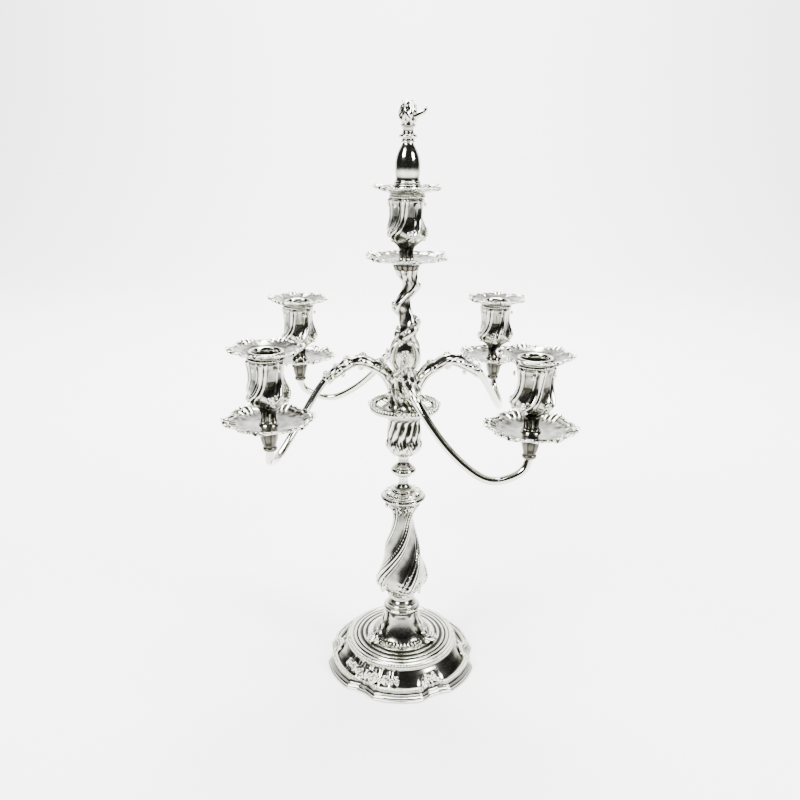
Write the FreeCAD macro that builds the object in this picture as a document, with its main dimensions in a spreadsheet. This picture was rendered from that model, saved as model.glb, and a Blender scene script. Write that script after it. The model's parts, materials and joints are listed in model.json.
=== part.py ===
import FreeCAD, Part
import os
import Sketcher
from math import cos, hypot, pi, radians, sin, sqrt
from FreeCAD import Placement, Rotation, Vector

# A five-light table candelabra: a weighted candlestick on a six-lobed foot, and a branch that plugs
# into its socket and carries four swirled arms and a centre light with a flame finial.
# Millimetres, +Z up, origin at the middle of the underside of the foot, -Y is the front.

doc = FreeCAD.newDocument("Candelabra")
sheet = doc.addObject("Spreadsheet::Sheet", "Sizes")

sizes = {
    # metal and fits
    "wall": 1.2,
    "slideGap": 0.1,
    "boreGap": 0.1,
    "padThickness": 1.0,
    "plateThickness": 1.4,
    # foot
    "footRadius": 72.0,
    "footNotchDepth": 4.0,
    "footEdgeHeight": 3.4,
    "footHeight": 28.5,
    "footShelfHeight": 6.5,
    "lowerBorderInset": 5.5,
    "lowerBorderWidth": 4.4,
    "lowerBorderHeight": 3.6,
    "upperBorderRadius": 48.5,
    "upperBorderWidth": 4.4,
    "upperBorderHeight": 4.4,
    "loadHeight": 10.5,
    # neck of the foot
    "neckBaseRadius": 24.5,
    "neckTopRadius": 15.5,
    "neckHeight": 32.0,
    "collarRadius": 14.0,
    "collarHeight": 9.0,
    # baluster stem
    "balusterHeight": 107.5,
    "balusterBaseRadius": 12.0,
    "balusterBellyRadius": 23.5,
    "balusterWaistRadius": 10.8,
    "balusterLipRadius": 20.6,
    "capHeight": 15.0,
    "stemNeckRadius": 4.3,
    "knopHeight": 22.0,
    "knopRadius": 11.8,
    # socket of the candlestick
    "socketHeight": 42.0,
    "socketBellyRadius": 17.3,
    "socketWaistRadius": 14.4,
    "socketLipRadius": 16.5,
    "socketBoreRadius": 11.5,
    "socketBoreDepth": 30.0,
    # rod that ties the candlestick together
    "coreRodRadius": 2.5,
    "coreNutRadius": 4.8,
    "coreNutHeight": 4.0,
    "coreWasherRadius": 7.5,
    "coreWasherThickness": 1.4,
    # spigot and hub of the branch
    "spigotLength": 28.0,
    "spigotStubRadius": 5.0,
    "spigotStubLength": 12.0,
    "spigotCavityRadius": 8.0,
    "branchPanRadius": 33.0,
    "branchPanNotchDepth": 2.6,
    "branchPanRise": 4.0,
    "branchPanPlate": 2.0,
    "hubRadius": 15.0,
    "hubHeight": 35.0,
    # rod that ties the branch together
    "branchRodRadius": 2.0,
    "branchNutRadius": 4.0,
    "branchNutHeight": 3.2,
    "branchWasherRadius": 6.0,
    "branchWasherThickness": 1.0,
    # centre stem of the branch
    "trunkHeight": 91.0,
    "trunkShieldRadius": 12.5,
    "trunkScrollRadius": 9.5,
    "trunkThinRadius": 5.0,
    "trunkTopRadius": 9.5,
    "centreCollarRadius": 11.0,
    "centreCollarHeight": 5.0,
    # drip pans, cups and nozzles, five of each
    "panRadius": 36.0,
    "panNotchDepth": 3.2,
    "panRise": 6.0,
    "panPhase": 35.0,
    "cupHeight": 56.0,
    "cupNeckRadius": 5.4,
    "cupBellyRadius": 16.3,
    "cupWaistRadius": 13.7,
    "cupLipRadius": 14.8,
    "cupBoreDepth": 25.0,
    "candleRadius": 11.1,
    "nozzleWall": 1.0,
    "nozzleSleeve": 22.0,
    "nozzleRadius": 30.0,
    "nozzleNotchDepth": 3.0,
    "nozzleRise": 6.0,
    # arms
    "armReach": 141.0,
    "armSwirl": 37.0,
    "armStartHeight": 276.0,
    "armCrestHeight": 303.0,
    "armDipHeight": 236.5,
    "armSeatHeight": 276.5,
    "armRodRadius": 3.3,
    "leafRootRadius": 6.4,
    "leafTipRadius": 4.3,
    "calyxHeight": 20.5,
    "calyxTopRadius": 9.0,
    "calyxFootRadius": 4.6,
    "studRadius": 2.0,
    "studLength": 17.0,
    "armAngleBackRight": 50.5,
    "armAngleBackLeft": 138.0,
    "armAngleFrontLeft": 222.0,
    "armAngleFrontRight": 313.5,
    # finial
    "finialPlugDepth": 14.0,
    "finialFlangeRadius": 14.0,
    "finialVaseHeight": 38.6,
    "finialVaseRadius": 10.1,
    "finialNeckRadius": 4.5,
    "finialKnopRadius": 7.7,
    "finialSpindleHeight": 14.0,
    "finialStudRadius": 1.5,
    "flameHeight": 20.0,
    "flameRadius": 7.9,
}

for row, (name, value) in enumerate(sizes.items(), 1):
    sheet.set("A%d" % row, name)
    sheet.set("B%d" % row, str(value))
    sheet.setAlias("B%d" % row, name)
doc.recompute()


class Size:
    # A number together with the spreadsheet formula that gives it.
    def __init__(self, value, text):
        self.value = value
        self.text = text

    def __add__(self, other):
        other = asSize(other)
        return Size(self.value + other.value, "(%s + %s)" % (self.text, other.text))

    def __sub__(self, other):
        other = asSize(other)
        return Size(self.value - other.value, "(%s - %s)" % (self.text, other.text))

    def __rsub__(self, other):
        return asSize(other) - self

    def __mul__(self, other):
        other = asSize(other)
        return Size(self.value * other.value, "(%s * %s)" % (self.text, other.text))

    def __truediv__(self, other):
        other = asSize(other)
        return Size(self.value / other.value, "(%s / %s)" % (self.text, other.text))

    __radd__ = __add__
    __rmul__ = __mul__


def asSize(number):
    if isinstance(number, Size):
        return number
    return Size(float(number), "(%.6f)" % number)


def root(size):
    return Size(sqrt(size.value), "sqrt(%s)" % size.text)


def shareOf(low, high, share):
    # A size part of the way from low to high.
    return low + (high - low) * share


def named(name):
    return Size(sizes[name], "Sizes." + name)


wall = named("wall")
slideGap = named("slideGap")
boreGap = named("boreGap")
rodBore = named("coreRodRadius") + boreGap
branchBore = named("branchRodRadius") + boreGap
studBore = named("studRadius") + boreGap
zero = asSize(0)

# Heights of the joints between stacked pieces, from the table upwards.
neckBase = named("footHeight")
collarBase = neckBase + named("neckHeight")
balusterBase = collarBase + named("collarHeight")
capBase = balusterBase + named("balusterHeight")
knopBase = capBase + named("capHeight")
socketBase = knopBase + named("knopHeight")
branchBase = socketBase + named("socketHeight")
hubBase = branchBase + named("branchPanPlate")
trunkBase = hubBase + named("hubHeight")
centreCollarBase = trunkBase + named("trunkHeight")
centreSeat = centreCollarBase + named("centreCollarHeight")
armSeat = named("armSeatHeight")
calyxFoot = armSeat - named("calyxHeight")
nozzleSeat = wall + named("cupHeight")


def bind(thing, prop, size):
    thing.setExpression(prop, size.text)


def planeOf(body, role):
    return [f for f in body.Origin.OriginFeatures if f.Role == role][0]


def newSketch(body, role, name):
    sketch = body.newObject("Sketcher::SketchObject", name)
    sketch.AttachmentSupport = [(planeOf(body, role), "")]
    sketch.MapMode = "FlatFace"
    return sketch


def arcBetween(start, end, sag):
    # The arc from start to end that stands sag to the right of the line between them.
    dx, dy = end[0] - start[0], end[1] - start[1]
    chord = hypot(dx, dy)
    radius = chord * chord / (8 * abs(sag)) + abs(sag) / 2
    side = 1 if sag > 0 else -1
    offset = side * (abs(sag) - radius)
    middle = Vector((start[0] + end[0]) / 2 + dy / chord * offset,
                    (start[1] + end[1]) / 2 - dx / chord * offset, 0)
    circle = Part.Circle(middle, Vector(0, 0, 1), radius)
    first = circle.parameter(Vector(start[0], start[1], 0))
    last = circle.parameter(Vector(end[0], end[1], 0))
    if side < 0:
        first, last = last, first
    if last < first:
        last += 2 * pi
    return Part.ArcOfCircle(circle, first, last), radius


def drawOutline(sketch, points):
    # points are (x, y) or (x, y, sag): sag is how far the edge to the next point bows to its right.
    # Every corner and every arc's radius is bound to the spreadsheet.
    count = len(points)
    first = sketch.GeometryCount
    ends = []
    for i, point in enumerate(points):
        following = points[(i + 1) % count]
        start = (asSize(point[0]).value, asSize(point[1]).value)
        end = (asSize(following[0]).value, asSize(following[1]).value)
        if len(point) == 3:
            sag = asSize(point[2])
            arc, _ = arcBetween(start, end, sag.value)
            sketch.addGeometry(arc, False)
            ends.append((1, 2) if sag.value > 0 else (2, 1))
        else:
            sketch.addGeometry(Part.LineSegment(Vector(*start, 0), Vector(*end, 0)), False)
            ends.append((1, 2))
    for i, point in enumerate(points):
        edge, after = first + i, first + (i + 1) % count
        sketch.addConstraint(Sketcher.Constraint(
            "Coincident", edge, ends[i][1], after, ends[(i + 1) % count][0]))
        x, y = asSize(point[0]), asSize(point[1])
        if abs(x.value) < 1e-9:
            sketch.addConstraint(Sketcher.Constraint("PointOnObject", edge, ends[i][0], -2))
        else:
            place = sketch.addConstraint(Sketcher.Constraint(
                "DistanceX", -1, 1, edge, ends[i][0], x.value))
            sketch.setExpression("Constraints[%d]" % place, x.text)
        if abs(y.value) < 1e-9:
            sketch.addConstraint(Sketcher.Constraint("PointOnObject", edge, ends[i][0], -1))
        else:
            place = sketch.addConstraint(Sketcher.Constraint(
                "DistanceY", -1, 1, edge, ends[i][0], y.value))
            sketch.setExpression("Constraints[%d]" % place, y.text)
        if len(point) == 3:
            following = points[(i + 1) % count]
            dx = asSize(following[0]) - x
            dy = asSize(following[1]) - y
            sag = asSize(point[2])
            if sag.value < 0:
                sag = 0 - sag
            radius = (dx * dx + dy * dy) / (8 * sag) + sag / 2
            place = sketch.addConstraint(Sketcher.Constraint("Radius", edge, radius.value))
            sketch.setExpression("Constraints[%d]" % place, radius.text)


def newBody(label):
    body = doc.addObject("PartDesign::Body", label)
    body.Label = label
    return body


def turned(label, points, height=zero):
    # A piece turned about the vertical axis from a profile of radius and height.
    body = newBody(label)
    sketch = newSketch(body, "XZ_Plane", label + "Profile")
    drawOutline(sketch, points)
    solid = body.newObject("PartDesign::Revolution", label + "Turned")
    solid.Profile = sketch
    solid.ReferenceAxis = (sketch, ["V_Axis"])
    solid.Angle = 360
    sketch.Visibility = False
    standAt(body, height)
    return body


def standAt(body, height):
    if height is not zero:
        bind(body, "Placement.Base.z", height)


def standOnArm(body, angle, height):
    # Puts a piece over the end of the arm that points at this angle.
    bind(body, "Placement.Base.x", named("armReach") * Size(cos(radians(angle.value)), "cos(%s)" % angle.text))
    bind(body, "Placement.Base.y", named("armReach") * Size(sin(radians(angle.value)), "sin(%s)" % angle.text))
    bind(body, "Placement.Base.z", height)
    turnTo(body, angle)


def turnTo(body, angle):
    body.Placement = Placement(body.Placement.Base, Rotation(Vector(0, 0, 1), angle.value))
    bind(body, "Placement.Rotation.Angle", angle)


def lobedPoints(count, corner, lobe, notch, halfAngle, phase=0.0):
    # Outline of count lobes that bow out to the lobe radius, with hollows between that draw in to notch.
    points = []
    step = 2 * pi / count
    for i in range(count):
        middle = radians(phase) + i * step
        left, right = middle - radians(halfAngle), middle + radians(halfAngle)
        outSag = lobe - corner * cos(radians(halfAngle))
        gap = step / 2 - radians(halfAngle)
        inSag = notch - corner * cos(gap)
        points.append((corner * cos(left), corner * sin(left), outSag))
        points.append((corner * cos(right), corner * sin(right), inSag))
    return points


def trimToOutline(body, points, reach):
    # Cuts away all that stands outside a lobed outline.
    sketch = newSketch(body, "XY_Plane", body.Label + "Outline")
    drawOutline(sketch, points)
    ring = sketch.addGeometry(Part.Circle(Vector(0, 0, 0), Vector(0, 0, 1), reach.value), False)
    sketch.addConstraint(Sketcher.Constraint("Coincident", ring, 3, -1, 1))
    place = sketch.addConstraint(Sketcher.Constraint("Radius", ring, reach.value))
    sketch.setExpression("Constraints[%d]" % place, reach.text)
    cut = body.newObject("PartDesign::Pocket", body.Label + "Trim")
    cut.Profile = sketch
    cut.Type = 1
    cut.Midplane = True
    sketch.Visibility = False


def padOutline(body, points, height, name):
    sketch = newSketch(body, "XY_Plane", body.Label + name)
    drawOutline(sketch, points)
    pad = body.newObject("PartDesign::Pad", body.Label + name + "Pad")
    pad.Profile = sketch
    bind(pad, "Length", height)
    sketch.Visibility = False
    return sketch


# ---- candlestick

footLobeHalfAngle = 17.0
footCorner = named("footRadius") - 0.6


def footOutline(inset):
    return lobedPoints(6, footCorner - inset, named("footRadius") - inset,
                       named("footRadius") - named("footNotchDepth") - inset, footLobeHalfAngle, -92.0)


plateRadius = named("footRadius") - named("footNotchDepth") - 2 * wall - 1.6
plateTop = named("padThickness") + named("plateThickness")
footShelf = (named("footRadius") - named("footNotchDepth") - named("lowerBorderInset")
             - named("lowerBorderWidth") - 0.6)


def footShell():
    edge = named("footRadius") + 1.0
    shelf = footShelf
    border = named("upperBorderRadius") + named("upperBorderWidth") / 2 + 0.6
    inner = named("upperBorderRadius") - named("upperBorderWidth") / 2 - 0.2
    seat = named("footHeight") - named("upperBorderHeight") - 1.4
    top = named("footHeight")
    points = [
        (rodBore, top - wall - 0.4),
        (named("coreWasherRadius") + 2.0, top - wall - 0.4),
        (inner - wall, top - wall - 1.8),
        (inner - wall, seat - wall),
        (border - wall, seat - wall - 1.0, -2.6),
        (shelf - wall, named("footShelfHeight")),
        (plateRadius - 1.8, named("footShelfHeight") - wall),
        (plateRadius - 1.8, plateTop),
        (plateRadius, plateTop),
        (plateRadius, zero),
        (edge, zero),
        (edge, named("footEdgeHeight")),
        (edge - 3.2, named("footShelfHeight") - 1.0),
        (edge - 4.6, named("footShelfHeight")),
        (shelf, named("footShelfHeight")),
        (shelf, named("footShelfHeight") + 1.0, 3.2),
        (border, seat),
        (inner, seat),
        (inner, top - 1.6),
        (inner - 9.0, top - 1.2),
        (inner - 9.0, top - 0.5),
        (named("neckBaseRadius") + 2.0, top - 0.5),
        (named("neckBaseRadius") + 2.0, top),
        (rodBore, top),
    ]
    body = turned("foot_shell", points)
    trimToOutline(body, footOutline(zero), edge + 8.0)
    return body


def footLowerBorder():
    body = newBody("foot_lower_border")
    outer = footOutline(named("lowerBorderInset"))
    sketch = newSketch(body, "XY_Plane", "LowerBorderOutline")
    drawOutline(sketch, outer)
    drawOutline(sketch, footOutline(named("lowerBorderInset") + named("lowerBorderWidth")))
    pad = body.newObject("PartDesign::Pad", "LowerBorderPad")
    pad.Profile = sketch
    bind(pad, "Length", named("lowerBorderHeight"))
    standAt(body, named("footShelfHeight"))
    return body


def footUpperBorder():
    middle, half = named("upperBorderRadius"), named("upperBorderWidth") / 2
    height = named("upperBorderHeight")
    points = [
        (middle - half, zero),
        (middle + half, zero),
        (middle + half, height * 0.45, half * 0.9),
        (middle - half, height * 0.45),
    ]
    seat = named("footHeight") - named("upperBorderHeight") - 1.4
    return turned("foot_upper_border", points, seat)


def footLoad():
    points = [
        (zero, zero),
        (plateRadius - 2.6, zero),
        (plateRadius - 2.6, 1.5),
        (footShelf - wall - 1.5, 2.6),
        (footShelf - wall - 4.0, named("loadHeight")),
        (zero, named("loadHeight")),
    ]
    return turned("foot_load", points, plateTop)


def closingPlate():
    rim = plateRadius - boreGap
    points = [(zero, zero), (rim, zero), (rim, named("plateThickness")), (zero, named("plateThickness"))]
    return turned("closing_plate", points, named("padThickness"))


def baizePad():
    rim = plateRadius - boreGap
    points = [(zero, zero), (rim, zero), (rim, named("padThickness")), (zero, named("padThickness"))]
    return turned("baize_pad", points)


def footNeck():
    low, high, tall = named("neckBaseRadius"), named("neckTopRadius"), named("neckHeight")
    points = [
        (low - 2 * wall, zero),
        (low, zero),
        (low, 1.6),
        (low - 1.6, 3.0, -2.0),
        (high + 0.6, tall - 5.4),
        (high + 1.6, tall - 4.2),
        (high + 1.6, tall - 1.6),
        (high, tall),
        (rodBore, tall),
        (rodBore, tall - 2 * wall),
        (high - wall, tall - 2 * wall, 2.2),
        (low - 2.6 * wall, 3.0),
    ]
    return turned("foot_neck", points, neckBase)


def neckCollar():
    rim, tall = named("collarRadius"), named("collarHeight")
    points = [
        (rodBore, zero),
        (rim - 0.6, zero),
        (rim, 1.0),
        (rim, 2.6),
        (rim - 1.4, 3.8, -1.4),
        (rim - 4.6, tall - 1.6),
        (rim - 4.2, tall),
        (rodBore, tall),
    ]
    return turned("neck_collar", points, collarBase)


def stemBaluster():
    tall = named("balusterHeight")
    base, belly = named("balusterBaseRadius"), named("balusterBellyRadius")
    waist, lip = named("balusterWaistRadius"), named("balusterLipRadius")
    shoulder = shareOf(waist, belly, 0.62)
    throat = lip - 3.1
    swell = belly - shareOf(base, shoulder, 0.5) - 0.1
    draw = shareOf(shoulder, throat, 0.5) - waist
    low, rise, high, top = asSize(3.0), tall * 0.372, tall * 0.925, tall - 3.0
    points = [
        (base - wall - 1.0, zero),
        (base - 1.4, zero),
        (base, 1.0),
        (base, low, swell),
        (shoulder, rise, 0 - draw),
        (throat, high),
        (lip, top),
        (lip, tall - 1.0),
        (lip - 2.4, tall),
        (rodBore, tall),
        (rodBore, tall - 2 * wall),
        (throat - wall, tall - 2 * wall - 2.0),
        (throat - 1.4 * wall, high, draw),
        (shoulder - 1.1 * wall, rise, 0 - swell),
        (base - wall - 1.0, low + 1.0),
    ]
    return turned("stem_baluster", points, balusterBase)


def stemCap():
    tall, neck = named("capHeight"), named("stemNeckRadius")
    rim = named("balusterLipRadius") - 3.0
    points = [
        (rodBore, zero),
        (rim, zero),
        (rim - 1.2, 2.4),
        (shareOf(neck, rim, 0.48), 4.8),
        (shareOf(neck, rim, 0.48), 5.8),
        (shareOf(neck, rim, 0.36), 7.2, -1.0),
        (neck, tall - 4.0),
        (neck, tall),
        (rodBore, tall),
    ]
    return turned("stem_cap", points, capBase)


def stemKnop():
    tall, neck, rim = named("knopHeight"), named("stemNeckRadius"), named("knopRadius")
    points = [
        (rodBore, zero),
        (neck, zero),
        (neck, 3.0),
        (shareOf(neck, rim, 0.5), 3.8),
        (shareOf(neck, rim, 0.66), 4.4),
        (rim - 0.8, 6.0, 0.9),
        (rim - 0.8, 10.4),
        (shareOf(neck, rim, 0.6), 12.4),
        (shareOf(neck, rim, 0.45), 13.2),
        (neck + 0.9, 15.4),
        (neck + 0.9, tall),
        (rodBore, tall),
    ]
    return turned("stem_knop", points, knopBase)


def stickSocket():
    tall = named("socketHeight")
    belly, waist, lip = named("socketBellyRadius"), named("socketWaistRadius"), named("socketLipRadius")
    bore, floor = named("socketBoreRadius"), tall - named("socketBoreDepth")
    foot = named("stemNeckRadius") + 1.6
    rodTop = floor - 3.0
    points = [
        (rodBore, zero),
        (foot, zero),
        (foot, 1.4, 2.2),
        (belly, 11.0, 0.4),
        (belly - 1.0, 15.0, asSize(0) - (shareOf(belly - 1.0, lip - 1.0, 0.5) - waist)),
        (lip - 1.0, tall - 3.0),
        (lip, tall - 1.8),
        (lip, tall),
        (bore, tall),
        (bore, floor),
        (zero, floor),
        (zero, rodTop),
        (rodBore, rodTop),
    ]
    return turned("stick_socket", points, socketBase)


def coreRod():
    bottom = named("footHeight") - wall - 0.4 - named("coreWasherThickness") - named("coreNutHeight") - 1.0
    top = socketBase + named("socketHeight") - named("socketBoreDepth") - 3.4
    radius = named("coreRodRadius")
    points = [(zero, zero), (radius, zero), (radius, top - bottom), (zero, top - bottom)]
    return turned("core_rod", points, bottom)


def hexNut(label, bore, across, height, place):
    body = newBody(label)
    sketch = newSketch(body, "XY_Plane", label + "Outline")
    corner = across / cos(pi / 6)
    hexagon = [(corner * cos(i * pi / 3), corner * sin(i * pi / 3)) for i in range(6)]
    drawOutline(sketch, hexagon)
    ring = sketch.addGeometry(Part.Circle(Vector(0, 0, 0), Vector(0, 0, 1), bore.value), False)
    sketch.addConstraint(Sketcher.Constraint("Coincident", ring, 3, -1, 1))
    bound = sketch.addConstraint(Sketcher.Constraint("Radius", ring, bore.value))
    sketch.setExpression("Constraints[%d]" % bound, bore.text)
    pad = body.newObject("PartDesign::Pad", label + "Pad")
    pad.Profile = sketch
    bind(pad, "Length", height)
    standAt(body, place)
    return body


def washer(label, bore, rim, thickness, place):
    points = [(bore, zero), (rim, zero), (rim, thickness), (bore, thickness)]
    return turned(label, points, place)


def candlestick():
    washerBase = named("footHeight") - wall - 0.4 - named("coreWasherThickness")
    return [
        footShell(), footLowerBorder(), footUpperBorder(), footLoad(), closingPlate(), baizePad(),
        footNeck(), neckCollar(), stemBaluster(), stemCap(), stemKnop(), stickSocket(), coreRod(),
        washer("core_washer", rodBore, named("coreWasherRadius"), named("coreWasherThickness"), washerBase),
        hexNut("core_nut", rodBore, named("coreNutRadius"), named("coreNutHeight"),
               washerBase - named("coreNutHeight")),
    ]


# ---- spigot and hub

spigotFloor = asSize(12.0)


def branchSpigot():
    rim = named("socketBoreRadius") - boreGap
    stub = named("spigotStubRadius")
    length = named("spigotLength")
    points = [
        (named("spigotCavityRadius"), zero),
        (rim - 0.8, zero),
        (rim, 1.5),
        (rim, length),
        (stub, length),
        (stub, length + named("spigotStubLength")),
        (branchBore, length + named("spigotStubLength")),
        (branchBore, length - spigotFloor),
        (named("spigotCavityRadius"), length - spigotFloor),
    ]
    return turned("branch_spigot", points, branchBase - length)


def branchPan():
    rim, rise, plate = named("branchPanRadius"), named("branchPanRise"), named("branchPanPlate")
    hole = named("spigotStubRadius") + boreGap
    flat = named("socketLipRadius") + 0.6
    points = [
        (hole, zero),
        (flat, zero),
        (rim - 6.0, rise - 1.6),
        (rim - 1.0, rise, 1.4),
        (rim - 1.0, rise + 4.6),
        (rim - 4.0, rise + 4.2),
        (rim - 6.0, rise + 1.4),
        (flat + 1.0, plate + 0.6),
        (flat, plate),
        (hole, plate),
    ]
    body = turned("branch_pan", points, branchBase)
    outline = lobedPoints(4, rim - 1.0, rim + 0.4, rim - named("branchPanNotchDepth"), 24.0, 45.0)
    trimToOutline(body, outline, rim + 8.0)
    return body


def hubProfile():
    rim, tall = named("hubRadius"), named("hubHeight")
    hole = named("spigotStubRadius") + boreGap
    stubTop = named("spigotStubLength") - named("branchPanPlate") + 0.4
    return [
        (hole, zero),
        (rim - 3.0, zero),
        (rim - 1.4, 2.6),
        (rim - 1.4, 5.0, 1.4),
        (rim - 1.4, 22.0),
        (rim - 5.0, tall - 4.0),
        (rim - 6.0, tall),
        (branchBore, tall),
        (branchBore, stubTop),
        (hole, stubTop),
    ]


def branchHub():
    return turned("branch_hub", hubProfile(), hubBase)


def branchRod():
    bottom = branchBase - spigotFloor - named("branchWasherThickness") - named("branchNutHeight") - 1.5
    length = centreSeat + 11.0 - bottom
    radius = named("branchRodRadius")
    points = [(zero, zero), (radius, zero), (radius, length), (zero, length)]
    return turned("branch_rod", points, bottom)


def branchFasteners():
    washerBase = branchBase - spigotFloor - named("branchWasherThickness")
    return [
        washer("branch_washer", branchBore, named("branchWasherRadius"), named("branchWasherThickness"),
               washerBase),
        hexNut("branch_nut", branchBore, named("branchNutRadius"), named("branchNutHeight"),
               washerBase - named("branchNutHeight")),
    ]


# ---- centre stem

def centreTrunk():
    tall, root = named("trunkHeight"), named("hubRadius") - 6.4
    shield, scroll = named("trunkShieldRadius"), named("trunkScrollRadius")
    thin, top = named("trunkThinRadius"), named("trunkTopRadius")
    points = [
        (branchBore, zero),
        (root, zero, 1.4),
        (shield - 1.0, tall * 0.13, 1.0),
        (shield - 2.0, tall * 0.33, 0.4),
        (scroll - 1.0, tall * 0.41, 1.0),
        (scroll - 1.0, tall * 0.50),
        (thin + 0.8, tall * 0.56),
        (thin + 2.0, tall * 0.60, 0.8),
        (thin + 2.0, tall * 0.68),
        (thin, tall * 0.75),
        (thin + 0.6, tall * 0.86, -1.4),
        (top, tall - 1.0),
        (top, tall),
        (branchBore, tall),
    ]
    return turned("centre_trunk", points, trunkBase)


def centreCollar():
    rim, tall = named("centreCollarRadius"), named("centreCollarHeight")
    points = [
        (branchBore, zero),
        (named("trunkTopRadius") - 0.5, zero),
        (rim, tall * 0.6),
        (rim - 1.0, tall),
        (branchBore, tall),
    ]
    return turned("centre_collar", points, centreCollarBase)


# ---- drip pan, cup and nozzle, the same at every light

def dripPan(label, bore):
    rim, rise = named("panRadius") + 1.4, named("panRise")
    flat = named("calyxTopRadius") + 2.0
    points = [
        (bore, zero),
        (flat, zero),
        (rim - 8.0, rise - 3.6),
        (rim, rise - 1.2),
        (rim, rise),
        (rim - 2.0, rise + 0.6),
        (rim - 8.4, rise - 2.2),
        (flat, wall),
        (bore, wall),
    ]
    body = turned(label, points)
    outline = lobedPoints(3, named("panRadius") - 2.2, named("panRadius"),
                          named("panRadius") - named("panNotchDepth"), 28.0, sizes["panPhase"])
    trimToOutline(body, outline, rim + 8.0)
    return body


def candleCup(label, bore, depth):
    tall = named("cupHeight")
    neck, belly = named("cupNeckRadius"), named("cupBellyRadius")
    waist, lip = named("cupWaistRadius"), named("cupLipRadius")
    hole = named("candleRadius") + named("nozzleWall") + slideGap
    floor = tall - named("cupBoreDepth")
    points = [
        (bore, zero),
        (neck + 2.2, zero),
        (neck + 1.6, 1.6),
        (neck, 3.4),
        (neck, 11.0, -1.6),
        (belly - 2.0, 22.5),
        (belly, 26.5),
        (belly, 29.0, -1.0),
        (waist, 43.0),
        (lip - 0.6, tall - 2.4),
        (lip, tall - 1.4),
        (lip, tall),
        (hole, tall),
        (hole, floor),
        (zero, floor),
        (zero, depth),
        (bore, depth),
    ]
    return turned(label, points)


def candleNozzle(label):
    # Seat of the flange on the cup is at height 0; the sleeve hangs below it.
    candle = named("candleRadius")
    sleeve = candle + named("nozzleWall")
    rim, rise = named("nozzleRadius") + 1.0, named("nozzleRise")
    down = zero - named("nozzleSleeve")
    points = [
        (candle, down),
        (sleeve, down),
        (sleeve, zero),
        (named("cupLipRadius") + 2.0, zero),
        (rim - 3.0, rise - 2.4),
        (rim, rise - 1.2),
        (rim, rise),
        (rim - 2.0, rise + 0.4),
        (rim - 4.0, rise - 1.0),
        (named("cupLipRadius") + 1.6, wall + 0.4),
        (named("cupLipRadius"), wall),
        (candle, wall),
    ]
    body = turned(label, points)
    outline = lobedPoints(3, named("nozzleRadius") - 2.0, named("nozzleRadius"),
                          named("nozzleRadius") - named("nozzleNotchDepth"), 28.0, sizes["panPhase"])
    trimToOutline(body, outline, rim + 8.0)
    return body


# ---- arms

rodSpare = 2.5
armNames = ("front_left", "front_right", "back_right", "back_left")
armAngles = {
    "front_left": named("armAngleFrontLeft"),
    "front_right": named("armAngleFrontRight"),
    "back_right": named("armAngleBackRight"),
    "back_left": named("armAngleBackLeft"),
}


def armCurve():
    # Centre line of an arm whose light stands on +X: out of the hub, over the crest, down to the dip and
    # up to the calyx, swirling in plan.
    reach, swirl = sizes["armReach"], sizes["armSwirl"]
    start, crest = sizes["armStartHeight"], sizes["armCrestHeight"]
    dip, seat = sizes["armDipHeight"], calyxFoot.value
    fall = crest - dip
    root = sizes["hubRadius"] - 7.0
    stops = [
        (root, -1.45 * swirl, start),
        (root + 0.075 * reach, -1.38 * swirl, start + 0.62 * (crest - start)),
        (0.285 * reach, -1.14 * swirl, crest),
        (0.420 * reach, -1.03 * swirl, crest - 0.10 * fall),
        (0.600 * reach, -0.74 * swirl, crest - 0.50 * fall),
        (0.775 * reach, -0.43 * swirl, crest - 0.89 * fall),
        (0.885 * reach, -0.26 * swirl, dip),
        (0.955 * reach, -0.13 * swirl, dip + 0.20 * (seat - dip)),
        (0.992 * reach, -0.035 * swirl, dip + 0.55 * (seat - dip)),
        (reach, 0.0, seat),
        (reach, 0.25, seat + rodSpare),
    ]
    points = [Vector(far * cos(radians(turn)), far * sin(radians(turn)), high) for far, turn, high in stops]
    curve = Part.BSplineCurve()
    curve.interpolate(Points=points)
    return curve


def alongCurve(curve, distance):
    return curve.parameterAtDistance(distance, curve.FirstParameter)


def ringOn(curve, distance, radius):
    place = alongCurve(curve, distance)
    return Part.Wire([Part.Circle(curve.value(place), curve.tangent(place)[0], radius).toShape()])


def taperedSweep(curve, stations):
    # A solid of round section along part of the curve; stations are (distance, radius).
    spine = Part.Wire([curve.toShape(alongCurve(curve, stations[0][0]), alongCurve(curve, stations[-1][0]))])
    rings = [ringOn(curve, distance, radius) for distance, radius in stations]
    solid = spine.makePipeShell(rings, True, False)
    if solid.Volume < 0:
        solid.reverse()
    return solid


armLine = armCurve()
armLength = armLine.length()
leafLength = 0.36 * armLength
rodStart = 0.30 * armLength


def shapeFeature(label, shape, angle):
    feature = doc.addObject("Part::Feature", label)
    feature.Label = label
    feature.Shape = shape
    turnTo(feature, angle)
    return feature


def armRodShape(spare=0.0):
    # The rod runs a little long and is cut off flush with the foot of the calyx.
    radius = sizes["armRodRadius"] + spare
    rod = taperedSweep(armLine, [(rodStart, radius), (armLength, radius)])
    end = Vector(sizes["armReach"], 0, calyxFoot.value)
    return rod.cut(Part.makeCylinder(4 * radius, 4 * rodSpare, end))


def armLeafShape():
    # Cast sleeve that grows out of the hub and thins towards the bare rod, which enters its end.
    rootRadius, tip = sizes["leafRootRadius"], sizes["leafTipRadius"]
    body = taperedSweep(armLine, [
        (0.0, rootRadius),
        (0.35 * leafLength, rootRadius),
        (0.70 * leafLength, 0.5 * (rootRadius + tip)),
        (leafLength, tip),
    ])
    hub = Part.makeCylinder(sizes["hubRadius"], sizes["hubHeight"] + 20, Vector(0, 0, hubBase.value - 10))
    return body.cut(armRodShape(sizes["boreGap"])).cut(hub)


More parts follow.
